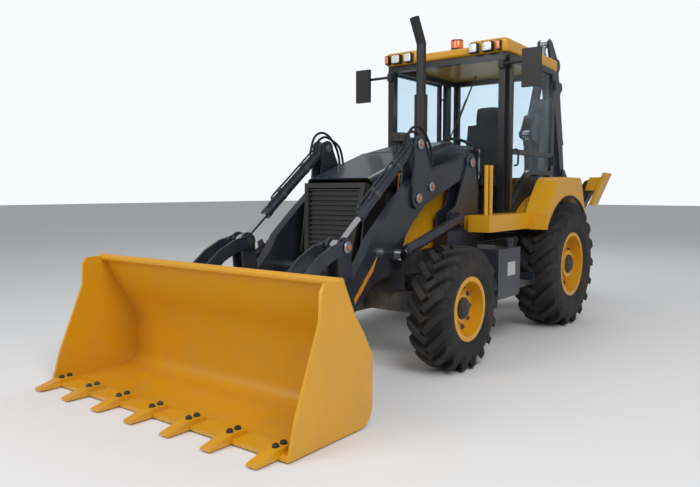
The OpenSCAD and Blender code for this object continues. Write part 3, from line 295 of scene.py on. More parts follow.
def finish(name, colour, rough=0.4, metal=0.0, coat=0.0, dust_amount=0.3, dust_height=1.3, bump=0.02,
           scale=40.0, shade=0.12, rough_span=0.12, specular=0.5):
    """A material: colour with slow shade variation, dust low down, scuffed roughness and a fine bump."""
    material = bpy.data.materials.new(name)
    material.use_nodes = True
    tree = material.node_tree
    shader = tree.nodes["Principled BSDF"]
    shader.inputs["Metallic"].default_value = metal
    shader.inputs["Coat Weight"].default_value = coat
    shader.inputs["Coat Roughness"].default_value = 0.12
    shader.inputs["Specular IOR Level"].default_value = specular
    place = tree.nodes.new("ShaderNodeTexCoord").outputs["Object"]
    slow = noise(tree, 1.7, 3.0, place)
    mix = tree.nodes.new("ShaderNodeMix")
    mix.data_type = "RGBA"
    mix.inputs["A"].default_value = (*[c * (1 - shade) for c in colour], 1)
    mix.inputs["B"].default_value = (*[min(1.0, c * (1 + shade)) for c in colour], 1)
    tree.links.new(slow.outputs["Fac"], mix.inputs["Factor"])
    film = tree.nodes.new("ShaderNodeGroup")
    film.node_tree = dust
    film.inputs["Amount"].default_value = dust_amount
    film.inputs["Height"].default_value = dust_height
    cover = tree.nodes.new("ShaderNodeMix")
    cover.data_type = "RGBA"
    cover.inputs["B"].default_value = DUST_COLOUR
    tree.links.new(mix.outputs["Result"], cover.inputs["A"])
    tree.links.new(film.outputs["Mask"], cover.inputs["Factor"])
    tree.links.new(cover.outputs["Result"], shader.inputs["Base Color"])
    scuffs = tree.nodes.new("ShaderNodeGroup")
    scuffs.node_tree = scuff
    scuffs.inputs["Scale"].default_value = scale
    worn = math_node(tree, "ADD", math_node(tree, "MULTIPLY", scuffs.outputs["Mask"], rough_span), rough)
    dusty = math_node(tree, "ADD", worn, math_node(tree, "MULTIPLY", film.outputs["Mask"], 0.4))
    tree.links.new(dusty, shader.inputs["Roughness"])
    grain = tree.nodes.new("ShaderNodeBump")
    grain.inputs["Strength"].default_value = bump
    grain.inputs["Distance"].default_value = 0.002
    tree.links.new(scuffs.outputs["Height"], grain.inputs["Height"])
    tree.links.new(grain.outputs["Normal"], shader.inputs["Normal"])
    return material


# %% [markdown]
# ### The machine's own colours
# Golden yellow and a navy that is nearly black carry the machine. Glass only bends light a little, because
# its panes are thin, and a tint in its colour darkens the cab behind it.

# %% Finishes of the machine
YELLOW = (0.68, 0.33, 0.007)
NAVY = (0.016, 0.021, 0.033)
yellow_paint = finish("yellow_paint", YELLOW, 0.36, coat=0.2, dust_amount=0.12, shade=0.06)
navy_paint = finish("navy_paint", NAVY, 0.36, coat=0.25, dust_amount=0.12, shade=0.15)
hood_paint = finish("hood_paint", (0.020, 0.026, 0.042), 0.26, coat=0.35, dust_amount=0.04, bump=0.006)
frame_paint = finish("frame_paint", (0.018, 0.021, 0.027), 0.42, dust_amount=0.3, dust_height=1.4)
cab_black = finish("cab_black", (0.012, 0.012, 0.014), 0.35, coat=0.2, dust_amount=0.1)
cast_iron = finish("cast_iron", (0.045, 0.046, 0.05), 0.6, dust_amount=0.7, dust_height=1.2, bump=0.25,
                   scale=160)
tyre_rubber = finish("tyre_rubber", (0.014, 0.014, 0.015), 0.66, dust_amount=0.10, dust_height=1.6, bump=0.12,
                     scale=90, specular=0.35)
black_plastic = finish("black_plastic", (0.015, 0.015, 0.016), 0.5, dust_amount=0.15, bump=0.1, scale=300)
pin_steel = finish("pin_steel", (0.42, 0.42, 0.44), 0.32, metal=1.0, dust_amount=0.2, bump=0.05)
rod_chrome = finish("rod_chrome", (0.78, 0.79, 0.81), 0.07, metal=1.0, dust_amount=0.02, bump=0.004)
worn_steel = finish("worn_steel", (0.32, 0.31, 0.30), 0.38, metal=0.9, dust_amount=0.6, dust_height=1.0,
                    bump=0.2, scale=25)
lens_clear = finish("lens_clear", (0.75, 0.77, 0.78), 0.08, coat=1.0, dust_amount=0.0)
lens_orange = finish("lens_orange", (0.85, 0.20, 0.02), 0.12, coat=1.0, dust_amount=0.0)
mirror_face = finish("mirror_face", (0.85, 0.87, 0.9), 0.03, metal=1.0, dust_amount=0.0, bump=0.0)
seat_cover = finish("seat_cover", (0.03, 0.031, 0.034), 0.85, dust_amount=0.05, bump=0.5, scale=420)
grease_orange = finish("grease_orange", (0.8, 0.16, 0.02), 0.45, dust_amount=0.1)
blank_plate = finish("blank_plate", (0.5, 0.5, 0.5), 0.4, dust_amount=0.1)

tinted_glass = bpy.data.materials.new("tinted_glass")
tinted_glass.use_nodes = True
glass_shader = tinted_glass.node_tree.nodes["Principled BSDF"]
glass_shader.inputs["Base Color"].default_value = (0.80, 0.90, 0.95, 1)
glass_shader.inputs["Roughness"].default_value = 0.02
glass_shader.inputs["IOR"].default_value = 1.12
glass_shader.inputs["Transmission Weight"].default_value = 1.0
print("finishes", len(bpy.data.materials))

# %% [markdown]
# ### Which node wears which finish
# Every CAD node gets its finish here, so a node without a dressed copy already looks right.

# %% Dress the nodes
WEARS = {
    yellow_paint: ["side_panels", "fenders", "roof", "loader_bucket", "rim_fl", "rim_fr", "rim_rl", "rim_rr"],
    navy_paint: ["arms", "tilt_brackets", "towers", "levers", "tilt_links", "swing_post", "boom", "dipper",
                 "toggle_levers", "push_link", "tanks", "cowl", "tilt_barrels", "lift_barrels", "boom_barrel",
                 "dip_barrel", "dig_barrel"],
    hood_paint: ["hood"],
    frame_paint: ["main_frame", "tie_downs", "stab_l", "stab_r"],
    cab_black: ["cab_frame", "door_l", "door_r"],
    cast_iron: ["axles", "engine", "knuckle_l", "knuckle_r"],
    worn_steel: ["dig_bucket"],
    tyre_rubber: ["tyre_fl", "tyre_fr", "tyre_rl", "tyre_rr"],
    black_plastic: ["grille", "exhaust", "controls", "mirrors"],
    pin_steel: ["pin_bracket", "pin_tilt", "pin_lever", "pin_bucket"],
    rod_chrome: ["tilt_rods", "lift_rods", "boom_rod", "dip_rod", "dig_rod"],
    lens_clear: ["lamps"],
    seat_cover: ["seat"],
    tinted_glass: ["glass", "door_glass_l", "door_glass_r"],
}
FINISH_OF = {node: material for material, nodes in WEARS.items() for node in nodes}
for node, obj in frame["nodes"].items():
    if not obj.material_slots:
        obj.data.materials.append(FINISH_OF[node])
    obj.material_slots[0].material = FINISH_OF[node]
print("dressed nodes", len(FINISH_OF))

# %% [markdown]
# ## Round edges
# Real plates are never knife sharp, and a small round edge is what catches the light. The CAD meshes are
# loose triangles, so a copy is welded, its flat triangles are joined to plain faces, and a Bevel modifier
# rounds the edges over 35 degrees. The copy then stands for the CAD node. The pads of the side legs are
# yellow, so faces of the legs above a height take the second material.


# %% Softened copies
def softened(node, width, segments=2):
    """A copy of a CAD node with welded points, joined flat faces and rounded edges."""
    mesh = frame["nodes"][node].data.copy()
    work = bmesh.new()
    work.from_mesh(mesh)
    bmesh.ops.remove_doubles(work, verts=work.verts, dist=2e-5)
    bmesh.ops.dissolve_limit(work, angle_limit=math.radians(0.6), verts=work.verts, edges=work.edges)
    work.to_mesh(mesh)
    work.free()
    mesh.shade_smooth()
    mesh.set_sharp_from_angle(angle=math.radians(35))
    obj = bpy.data.objects.new(node + "_edges", mesh)
    bpy.context.scene.collection.objects.link(obj)
    bevel = obj.modifiers.new("round_edges", "BEVEL")
    bevel.width = width
    bevel.segments = segments
    bevel.limit_method = "ANGLE"
    bevel.angle_limit = math.radians(35)
    bevel.harden_normals = True
    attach(obj, BODY_OF[node])
    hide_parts(node)
    return obj


EDGE_WIDTH = {
    0.004: ["tilt_brackets", "levers", "tilt_links", "toggle_levers", "push_link", "door_l", "door_r",
            "dig_bucket", "mirrors", "stab_l", "stab_r"],
    0.006: ["arms", "boom", "dipper", "swing_post", "cab_frame", "loader_bucket", "main_frame", "towers"],
    0.012: ["tanks", "side_panels"],
    0.03: ["roof"],
    0.045: ["fenders"],
    0.02: ["seat"],
}
WIDE_EDGE = 0.01
soft = {}
for width, nodes in EDGE_WIDTH.items():
    for node in nodes:
        soft[node] = softened(node, width, 4 if width > WIDE_EDGE else 2)

PAD_FROM = 1.30
for node in ("stab_l", "stab_r"):
    mesh = soft[node].data
    mesh.materials.append(yellow_paint)
    heights = np.empty(len(mesh.polygons) * 3)
    mesh.polygons.foreach_get("center", heights)
    mesh.polygons.foreach_set("material_index", (heights[2::3] > PAD_FROM).astype(np.int32))
print("softened", len(soft))

# %% [markdown]
# ## Tyres
# A traction tyre has a smooth carcass and slanted rubber bars that meet in a chevron. Bump in a material
# would leave the outline round, and single bars would have to be cut into the carcass. Here both are
# profiles of the same parameter, one for the carcass and one for the bars' tips, and a mask on the grid of
# turn and profile says which of the two shows. A narrow smooth step between them makes the walls of the
# bars.

# %% Tyres with lugs
LUG_COUNT, LUG_WIDTH, LUG_HEIGHT, LUG_SLANT = 18, 0.052, 0.042, math.radians(45)
TYRE_TURNS, LUG_STEPS = 792, 56


def smooth_step(x, low, high):
    """0 below low, 1 above high, and a cubic blend between them."""
    t = np.clip((x - low) / (high - low), 0, 1)
    return t * t * (3 - 2 * t)


def spread(profile, count):
    """Points at even steps of length along a profile."""
    p = np.asarray(profile, float)
    length = np.concatenate([[0], np.cumsum(np.linalg.norm(np.diff(p, axis=0), axis=1))])
    at = np.linspace(0, length[-1], count)
    return np.stack([np.interp(at, length, p[:, 0]), np.interp(at, length, p[:, 1])], 1)


def lugged_tyre(node, rim):
    """Carcass and lug profiles (radius, axial) mixed by a mask of slanted bars and turned round the axle."""
    low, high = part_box(node)
    rim_low, rim_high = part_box(rim)
    centre, half = (low + high) / 2, (high.y - low.y) / 2
    r, seat = (high.x - low.x) / 2, (rim_high.x - rim_low.x) / 2 - 0.004
    tread = r - LUG_HEIGHT
    side = [(seat, 0.80), (seat + 0.03, 0.88), (seat + 0.045, 0.93), (seat + 0.052, 0.915),
            (seat + 0.06, 0.95), (r - 0.16, 0.975), (r - 0.13, 0.97)]
    carcass = spread([(r - 0.13, 0.97), (tread - 0.062, 0.93), (tread - 0.035, 0.88), (tread - 0.018, 0.76),
                      (tread - 0.006, 0.5), (tread, 0.0)], LUG_STEPS)
    tips = spread([(r - 0.13, 0.97), (r - 0.108, 0.995), (r - 0.05, 0.965), (r - 0.02, 0.89),
                   (r - 0.006, 0.74), (r, 0.55), (r, 0.0)], LUG_STEPS)
    curve = spread(side, 24)[:-1]
    base = np.concatenate([curve, carcass, (carcass * [1, -1])[::-1][1:], (curve * [1, -1])[::-1]])
    top = np.concatenate([curve, tips, (tips * [1, -1])[::-1][1:], (curve * [1, -1])[::-1]])
    base, top = base * [1, half], top * [1, half]
    turn = np.linspace(0, 2 * np.pi, TYRE_TURNS, endpoint=False)[:, None]
    pitch, axial = 2 * np.pi / LUG_COUNT, top[None, :, 1]
    mask = np.zeros((TYRE_TURNS, len(top)))
    for s in (-1, 1):
        away = (turn - s * pitch / 4 + pitch / 2) % pitch - pitch / 2
        for neighbour in (-pitch, 0, pitch):
            t, a = -r * (away + neighbour), axial - s * 0.5 * half
            across = -s * a * math.sin(LUG_SLANT) + t * math.cos(LUG_SLANT)
            along = a * math.cos(LUG_SLANT) + s * t * math.sin(LUG_SLANT)
            bar = 1 - smooth_step(np.abs(across), LUG_WIDTH / 2 - 0.003, LUG_WIDTH / 2 + 0.005)
            mask = np.maximum(mask, bar * (1 - smooth_step(np.abs(along), 0.72 * half, 0.75 * half)))
    shape = base[None] + mask[..., None] * (top - base)[None]
    radius, axial = shape[..., 0], shape[..., 1]
    x, z = centre.x + radius * np.cos(turn), centre.z - radius * np.sin(turn)
    points = np.stack([x, centre.y + axial, z], 2).reshape(-1, 3)
    faces = grid_faces(TYRE_TURNS, len(base), True, True)
    tyre = piece(node + "_lugs", (points, faces.tolist()), BODY_OF[node], tyre_rubber, 50)
    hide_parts(node)
    print(node, "faces", len(faces))


for corner in ("fl", "fr", "rl", "rr"):
    lugged_tyre("tyre_" + corner, "rim_" + corner)

# %% [markdown]
# ## Wheel nuts and hubs
# Each rim is held by a ring of hexagonal nuts on round washers, and each hub ends in a black cap. An Array
# modifier could repeat a nut, but it would need a helper object. A nut is a profile turned in only six
# steps, and the ring is the same nut moved round the axle.


# %% Wheel nuts
def nut(centre, axis, sign, size):
    """A washer, a six-sided nut and a short round stud end, standing along an axis."""
    up = sign * size
    washer = turned([(0.2 * size, 0), (1.25 * size, 0), (1.25 * size, 0.18 * up), (0.2 * size, 0.18 * up)],
                    centre, axis, 16)
    body = turned([(0.2 * size, 0.1 * up), (size, 0.1 * up), (size, 0.85 * up), (0.85 * size, 0.95 * up),
                   (0.2 * size, 0.95 * up)], centre, axis, 6)
    stud = turned([(0.45 * size, 0.5 * up), (0.45 * size, 1.25 * up), (0.35 * size, 1.35 * up),
                   (0.05 * size, 1.35 * up)], centre, axis, 12)
    return gather([washer, body, stud])


NUTS = 10
# Front and rear: the rim's face, the circle of the nuts and a nut's half width
RIM_FACE = {"f": (0.968, 0.165, 0.017), "r": (0.948, 0.225, 0.020)}
# Front and rear: the hub's end and the cap's radius
HUB_CAP = {"f": (1.000, 0.085), "r": (1.020, 0.095)}
for corner in ("fl", "fr", "rl", "rr"):
    sign = 1 if corner[1] == "l" else -1
    low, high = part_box("rim_" + corner)
    axle = (low + high) / 2
    face, circle, size = RIM_FACE[corner[0]]
    turn = np.linspace(0, 2 * np.pi, NUTS, endpoint=False)
    x, z = axle.x + circle * np.cos(turn), axle.z + circle * np.sin(turn)
    ring = [nut(place, 1, sign, size) for place in np.stack([x, np.full(NUTS, sign * face), z], 1)]
    piece("nuts_" + corner, gather(ring), "wheel_" + corner, cast_iron)
    end, cap_r = HUB_CAP[corner[0]]
    cap = turned([(0.02, 0), (cap_r, 0), (cap_r, sign * 0.014), (0.8 * cap_r, sign * 0.022),
                  (0.75 * cap_r, sign * 0.03), (0.3 * cap_r, sign * 0.036), (0.01, sign * 0.037)],
                 (axle.x, sign * end, axle.z), 1, 40)
    piece("hub_cap_" + corner, cap, "wheel_" + corner, black_plastic)
print("nuts per wheel", NUTS)

# %% [markdown]
# ## Pipes on the tilt cylinders
# Oil reaches the rod's side of a long cylinder through steel pipes that lie along the barrel under clamps.
# A bevelled curve could make them. The round bar from above is enough, since they follow straight lines
# beside the barrel and bend in only at their ends.


# %% Cylinder pipes
def side_line(start, end):
    """Unit vector from one side position to another and the unit vector square to it, upwards."""
    along = (end - start) / np.linalg.norm(end - start)
    return along, np.array([-along[2], 0, along[0]])


ARM_Y, PIPE_R = 0.485, 0.0085
bracket_top, tilt_pin = pivot("tilt_barrel_turn"), pivot("tilt_link_turn")
along, up = side_line(bracket_top, tilt_pin)
pipes, clamps = [], []
for shift in (-0.02, 0.02):
    lift = np.array([0.041, 0.058, 0.058, 0.058, 0.041])
    place = np.array([0.10, 0.14, 0.5, 0.85 - 0.1 * (shift > 0), 0.89 - 0.1 * (shift > 0)])
    path = bracket_top + place[:, None] * along + lift[:, None] * up + np.array([0, ARM_Y + shift, 0])
    pipes.append(tube(curve_through(path, 6), PIPE_R))
for place in (0.3, 0.66):
    centre = bracket_top + place * along + np.array([0, ARM_Y, 0])
    clamps.append(tube(np.stack([centre, centre + 0.035 * along]), 0.0425, 24))
    clamps.append(tube(np.stack([centre + 0.05 * up, centre + 0.05 * up + 0.035 * along]), 0.018, 8))
piece("tilt_pipes", both_sides(*pipes), "tilt_barrels", navy_paint)
piece("tilt_clamps", both_sides(*clamps), "tilt_barrels", cast_iron)
print("pipes", 2 * len(pipes), "clamps", 2 * len(clamps))

# %% [markdown]
# ## Pin caps
# The pins that show on the arms end in a round cap with a coloured grease point in its middle. Caps and
# points are short turned profiles on the outer end of each pin, with their own pieces so that each takes
# its own finish.

# %% Pin caps
CAP_R = 0.043


def pin_cap(p, y, radius=CAP_R):
    """A flat round cap with a bevelled rim on the pin's outer end."""
    profile = [(0.01, 0), (radius, 0), (radius, 0.006), (0.85 * radius, 0.011), (0.01, 0.011)]
    return turned(profile, (p[0], y, p[2]), 1, 28)


def grease_dot(p, y):
    """The small dome of a grease point on the cap's middle."""
    return turned([(0.01, 0.010), (0.011, 0.013), (0.008, 0.020), (0.002, 0.022)], (p[0], y, p[2]), 1, 12)


BRACKET_PINS = np.array([[station(2.190), 0, 1.335], [station(1.990), 0, 1.430]])
# For each body, its pins and the side places of their outer ends
CAPPED = {"arms": [(bracket_top, 0.555), (pivot("lever_turn"), 0.555), (BRACKET_PINS[0], 0.554),
                   (BRACKET_PINS[1], 0.554)],
          "chassis": [(pivot("lift"), 0.556)], "levers": [(tilt_pin, 0.577)]}
for body, pins in CAPPED.items():
    piece("caps_" + body, both_sides(*[pin_cap(p, y) for p, y in pins]), body, pin_steel)
    piece("grease_" + body, both_sides(*[grease_dot(p, y) for p, y in pins]), body, grease_orange)
print("capped pins", 2 * sum(len(pins) for pins in CAPPED.values()))

# %% [markdown]
# ## Stripes on the arms
# Slanted yellow and orange bars mark the moving arm. Paint on one side of a plate would need a mask in its
# material. Each bar is instead a sheet 1.5 millimetres thick on the arm's face, so it keeps a sharp edge at
# any distance.

# %% Stripes
ARM_FACE = 0.525


def face_sheet(corners, y, thickness=0.0015):
    """A thin plate with the given side corners (x, z) standing on a face at y."""
    c = np.asarray(corners, float)
    points = np.stack([np.stack([c[:, 0], np.full(len(c), v), c[:, 1]], 1) for v in (y, y + thickness)])
    return solid(points)


STRIPE_START, STRIPE_STEP = np.array([station(2.735), 0.90]), np.array([0.062, -0.062])
STRIPE_DOWN, STRIPE_WIDTH, STRIPES = np.array([0.06, -0.111]), 0.8 * STRIPE_STEP, 5
bars = []
for k in range(STRIPES):
    top = STRIPE_START + k * STRIPE_STEP
    bar = [top, top + STRIPE_WIDTH, top + STRIPE_WIDTH + STRIPE_DOWN, top + STRIPE_DOWN]
    bars.append(face_sheet(bar, ARM_FACE))
piece("stripes_yellow", both_sides(*bars[::2]), "arms", yellow_paint)
piece("stripes_orange", both_sides(*bars[1::2]), "arms", lens_orange)
print("stripes", 2 * len(bars))

# %% [markdown]
# ## Bucket teeth
# Every tooth is bolted through the cutting edge with two domed bolts. A dome is a profile of four points
# turned in 16 steps, which is round enough for a bolt this small.

# %% Tooth bolts
TEETH, OUTER_TOOTH, EDGE_TOP = 7, 0.112, 0.062
BOLT_STATIONS = (4.345, 4.405)
DOME = [(0.02, 0), (0.019, 0.012), (0.012, 0.019), (0.003, 0.021)]
tooth_y = np.linspace(-1, 1, TEETH) * (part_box("loader_bucket")[1].y - OUTER_TOOTH)
domes = [turned(DOME, (station(x), y, EDGE_TOP), 2, 16) for y in tooth_y for x in BOLT_STATIONS]
piece("tooth_bolts", gather(domes), "loader_bucket", black_plastic)
print("tooth bolts", len(domes))

# %% [markdown]
# ## Lamps, beacon and mirrors
# The lamps on the roof's front are black housings with a clear or orange lens. A lens is a rounded
# rectangle whose face bulges: its corners follow a superellipse, where the powers of cosine and sine give
# the roundness.


# %% Lenses
def signed_power(x, power):
    """The size of x raised to a power, with the sign of x."""
    return np.sign(x) * np.abs(x) ** power


def rounded_lens(centre, half_y, half_z, sign, depth, power=0.35, steps=40):
    """A superellipse outline carried over rings that shrink while they stand out, so the face bulges."""
    t = np.linspace(0, 2 * np.pi, steps, endpoint=False)
    y, z = signed_power(np.cos(t), power), signed_power(np.sin(t), power)
    size = np.array([1.0, 1.0, 0.93, 0.6, 0.1])[:, None]
    out = np.array([0.0, 0.5, 0.8, 0.97, 1.0])[:, None] * depth * sign
    x, y, z = centre[0] + out + 0 * t, centre[1] + half_y * size * y, centre[2] + half_z * size * z
    return solid(np.stack([x, y, z], 2))


LAMP_SHELF = 2.715
# Side place and half width of the two clear lamps at the front
CLEAR_LAMPS = ((0.374, 0.038), (0.521, 0.046))
front_x, front_z = station(0.945), LAMP_SHELF + 0.052
rear_x, rear_z = station(-0.650), LAMP_SHELF + 0.065
clear = [rounded_lens((front_x, y, front_z), half, 0.040, 1, 0.010) for y, half in CLEAR_LAMPS]
amber = [rounded_lens((front_x, 0.6335, front_z), 0.018, 0.040, 1, 0.008)]
work = [rounded_lens((rear_x, y, rear_z), 0.043, 0.038, -1, 0.010) for y in (0.35, 0.52)]
housing = softened("lamps", 0.008)
housing.data.materials.clear()
housing.data.materials.append(black_plastic)
piece("lamp_lenses", both_sides(*clear, *work), "chassis", lens_clear)
piece("signal_lenses", both_sides(*amber), "chassis", lens_orange)
BEACON_FOOT, MIRROR_FACE = (station(0.57), 0, 2.868), (station(0.895), 0.959, 2.527)
beacon = turned([(0.03, 0), (0.064, 0), (0.064, 0.05), (0.061, 0.085), (0.03, 0.1), (0.004, 0.102)],
                BEACON_FOOT, 2, 32)
piece("beacon", beacon, "chassis", lens_orange)
panes = rounded_lens(MIRROR_FACE, 0.078, 0.162, -1, 0.004)
piece("mirror_panes", both_sides(panes), "chassis", mirror_face)
print("lenses", 2 * (len(clear) + len(amber) + len(work)))

# %% [markdown]
# ## Hoses
# Two rubber hoses feed each tilt cylinder. They rise from the top of the arm, bow over the bracket's head
# and come down on the barrel. A hose is a tube along a curve, and its true length is the sum of the curve's
# steps.

# %% Hoses on the arms
HOSE_R = 0.011


def hose(name, points, body):
    """A rubber tube through the points; gives back the measured length of its path."""
    path = curve_through(points, 12)
    obj = piece(name, tube(path, HOSE_R, 14), body, tyre_rubber)
    length = path_length(path)
    return length


port = bracket_top + 0.15 * along + 0.035 * up
for side in (1, -1):
    for shift in (-0.02, 0.02):
        bow = [(station(1.93), 1.566), (station(1.905), 1.66), (station(1.95), 1.79),
               (station(2.06), 1.875 + shift), (station(2.17), 1.90 + shift), (station(2.27), 1.845 + shift),
               (port[0] + shift, port[2])]
        name = "hose_" + ("l" if side > 0 else "r") + ("_in" if shift < 0 else "_out")
        print(name, round(hose(name, [(x, side * (ARM_Y + shift), z) for x, z in bow], "arms"), 3))

# %% [markdown]
# ## Cushions
# The seat has a base, a back that leans a little and a head rest, all covered in cloth. A box under a
# Subdivision Surface modifier would look alike. A superellipsoid is a ball whose cosines and sines are
# raised to a small power, which squares it into a cushion with soft edges, and one number sets how square
# it is.


# %% Seat cushions
def cushion(half, power=0.42, steps=40):
    """A superellipsoid with the given half sizes about the origin."""
    u = np.linspace(-np.pi / 2, np.pi / 2, steps)[:, None]
    v = np.linspace(0, 2 * np.pi, 2 * steps, endpoint=False)[None]
    ring = signed_power(np.cos(u), power)
    x = half[0] * ring * signed_power(np.cos(v), power)
    y = half[1] * ring * signed_power(np.sin(v), power)
    z = half[2] * signed_power(np.sin(u), power) + 0 * v
    return np.stack([x, y, z], 2)


LEAN, BACK_FOOT = math.radians(8), np.array([-0.08, 0, 1.5])
LEANING = np.array([[math.cos(LEAN), 0, -math.sin(LEAN)], [0, 1, 0], [math.sin(LEAN), 0, math.cos(LEAN)]])
cushions = {"seat_base": cushion((0.262, 0.246, 0.062)) + np.array([0.15, 0, 1.515]),
            "seat_back": (cushion((0.062, 0.24, 0.33)) + np.array([0, 0, 0.325])) @ LEANING.T + BACK_FOOT,
            "head_rest": (cushion((0.046, 0.138, 0.108)) + np.array([0, 0, 0.735])) @ LEANING.T + BACK_FOOT}
for name, points in cushions.items():
    points[..., 0] += station(0)
    piece(name, solid(points), "chassis", seat_cover, 80)
print("cushions", len(cushions))

# %% [markdown]
# ## Tanks and steps
# A black screw cap closes each tank, a blank plate sits on its outer face, and ribs on the step give grip
# to a boot. They are a turned profile, a thin sheet and short round bars, since a texture would be flat at
# the edge.

# %% Tank caps, plates and ribs
FILLER_NECK, TANK_FACE = (station(1.1995), 0.90, 0.93), 0.950
filler = turned([(0.01, 0), (0.046, 0), (0.046, 0.026), (0.04, 0.033), (0.01, 0.035)], FILLER_NECK, 2, 32)
piece("tank_caps", both_sides(filler), "chassis", black_plastic)
plate_x1, plate_x2, plate_z1, plate_z2 = station(1.17), station(1.33), 0.64, 0.76
corners = [(plate_x1, plate_z1), (plate_x2, plate_z1), (plate_x2, plate_z2), (plate_x1, plate_z2)]
plate = face_sheet(corners, TANK_FACE)
piece("blank_plates", both_sides(plate), "chassis", blank_plate)
STEP_TOP, RIB_FROM, RIB_TO = 0.530, 0.71, 0.93
rib_x = station(np.linspace(0.74, 1.03, 8))
ribs = [tube([(x, RIB_FROM, STEP_TOP), (x, RIB_TO, STEP_TOP)], 0.006, 8) for x in rib_x]
piece("step_ribs", both_sides(*ribs), "chassis", cast_iron)
print("ribs per step", len(ribs))

# %% [markdown]
# ## Fender edges
# A rubber lip runs round the outer edge of each fender, along the wheel arch. The arch is part of a circle
# about the axle, so the lip is a bar along an arc.

# %% Fender edges
ARCH_R, ARCH_Z, FENDER_FACE = 0.702, 0.638, 1.014
sweep = np.radians(np.linspace(131, 35, 40))
edge_x, edge_z = station(0) + ARCH_R * np.cos(sweep), ARCH_Z + ARCH_R * np.sin(sweep)
edge = np.stack([edge_x, np.full(len(sweep), FENDER_FACE), edge_z], 1)
piece("fender_edges", both_sides(tube(edge, 0.012, 10)), "chassis", tyre_rubber)
print("lip length", round(path_length(edge), 3))

# %% [markdown]
# ## Wiper
# The wiper's arm swings from a small motor under the windscreen and carries a rubber blade. Both are thin
# bars just ahead of the glass, and the motor's cap is turned.

# %% Wiper
WIPER_X = station(0.846)
wiper = tube([(WIPER_X, 0.05, 1.86), (WIPER_X, 0.16, 2.08), (WIPER_X, 0.26, 2.30)], 0.007, 8)
blade = tube([(WIPER_X - 0.006, 0.16, 2.06), (WIPER_X - 0.006, 0.36, 2.52)], 0.008, 8)
motor_cap = [(0.005, -0.012), (0.028, -0.012), (0.028, 0.012), (0.005, 0.016)]
motor = turned(motor_cap, (WIPER_X, 0.05, 1.86), 0, 20)
piece("wiper", gather([wiper, blade, motor]), "chassis", black_plastic)
print("wiper at", round(WIPER_X, 3))

# %% [markdown]
# ## Door handles
# A bent bar on each door is its handle. It is a curve through five points, and it rides on the door, so it
# swings with it.

# %% Door handles
DOOR_FACE, HANDLE_X = 0.715, station(0.69)
grip_y = DOOR_FACE + np.array([-0.004, 0.03, 0.034, 0.03, -0.004])
grip_z = np.array([1.64, 1.655, 1.72, 1.785, 1.80])
handle = tube(curve_through(np.stack([np.full(5, HANDLE_X), grip_y, grip_z], 1), 6), 0.010, 12)
piece("door_handle_l", handle, "door_l", black_plastic)
piece("door_handle_r", mirrored(handle), "door_r", black_plastic)
print("meshes", len(bpy.data.meshes))

# %% [markdown]
# ## Camera and light
# The camera stands where the photograph was taken, ahead of the machine and to its left, at a little less
# than the hood's height. Its lens follows from the focal length in pixels and the picture's width.

# %% Camera
IMAGE = (700, 487)
FOCAL_PX = 666.08
EYE = Vector((station(6.8508), 3.4397, 1.402))
YAW, PITCH = 3.799, -0.08
camera_data = bpy.data.cameras.new("photo_camera")
camera_data.sensor_width = 36.0
camera_data.lens = FOCAL_PX / IMAGE[0] * camera_data.sensor_width
camera = bpy.data.objects.new("photo_camera", camera_data)
bpy.context.scene.collection.objects.link(camera)
gaze = Vector((math.cos(PITCH) * math.cos(YAW), math.cos(PITCH) * math.sin(YAW), math.sin(PITCH)))
camera.location = EYE
camera.rotation_mode = "QUATERNION"
camera.rotation_quaternion = gaze.to_track_quat("-Z", "Y")
bpy.context.scene.camera = camera
print("lens", round(camera_data.lens, 2))

# %% [markdown]
# ### Studio
# Three large soft lamps and a pale sky light the machine. The sky is brighter to the camera and through
# glass than in reflections, so dark paint keeps its depth. The floor is pale and belongs to the stage.


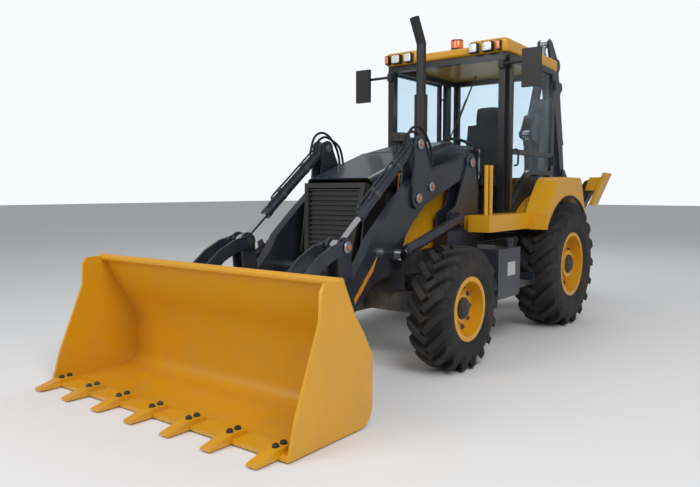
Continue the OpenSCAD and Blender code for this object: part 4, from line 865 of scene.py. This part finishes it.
# %% Lights, sky and floor
def soft_lamp(name, place, target, size, watts):
    """A square area lamp aimed at a point."""
    data = bpy.data.lights.new(name, "AREA")
    data.size = size
    data.energy = watts
    lamp = bpy.data.objects.new(name, data)
    lamp.location = place
    lamp.rotation_mode = "QUATERNION"
    lamp.rotation_quaternion = (Vector(target) - Vector(place)).to_track_quat("-Z", "Y")
    bpy.context.scene.collection.objects.link(lamp)


soft_lamp("key_lamp", (5.5, 6.5, 7.5), (0.5, 0, 1), 5.0, 480)
soft_lamp("front_lamp", (8.5, -2.0, 5.0), (1.5, 0, 1), 4.0, 190)
soft_lamp("back_lamp", (-6.0, -2.0, 8.0), (-1, 0, 1.2), 5.0, 160)

world = bpy.data.worlds.new("pale_sky")
world.use_nodes = True
bpy.context.scene.world = world
sky = world.node_tree
sky_light = sky.nodes["Background"]
sky_light.inputs["Color"].default_value = (0.95, 0.97, 1.0, 1)
rays = sky.nodes.new("ShaderNodeLightPath")
seen = math_node(sky, "MAXIMUM", rays.outputs["Is Camera Ray"], rays.outputs["Is Transmission Ray"])
SKY_LIGHT, SKY_SEEN = 0.42, 1.0
extra = math_node(sky, "MULTIPLY", seen, SKY_SEEN - SKY_LIGHT)
sky.links.new(math_node(sky, "ADD", extra, SKY_LIGHT), sky_light.inputs["Strength"])

floor_mesh = bpy.data.meshes.new("floor")
FLOOR_SIZE = 60.0
floor_mesh.from_pydata([(-FLOOR_SIZE, -FLOOR_SIZE, 0), (FLOOR_SIZE, -FLOOR_SIZE, 0),
                        (FLOOR_SIZE, FLOOR_SIZE, 0), (-FLOOR_SIZE, FLOOR_SIZE, 0)], [], [(0, 1, 2, 3)])
floor_obj = bpy.data.objects.new("floor", floor_mesh)
bpy.context.scene.collection.objects.link(floor_obj)
pale_floor = bpy.data.materials.new("pale_floor")
pale_floor.use_nodes = True
floor_shader = pale_floor.node_tree.nodes["Principled BSDF"]
floor_shader.inputs["Base Color"].default_value = (0.80, 0.80, 0.80, 1)
floor_shader.inputs["Roughness"].default_value = 0.8
floor_mesh.materials.append(pale_floor)
floor_obj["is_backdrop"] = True
bpy.context.scene.view_settings.view_transform = "Standard"
print("lamps", len(bpy.data.lights))

# %% [markdown]
# ## Sizes and the end
# The box of the dressed machine is printed.

# %% Finish
low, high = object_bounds()
print("visual box", [round(v, 3) for v in (*low, *high)])
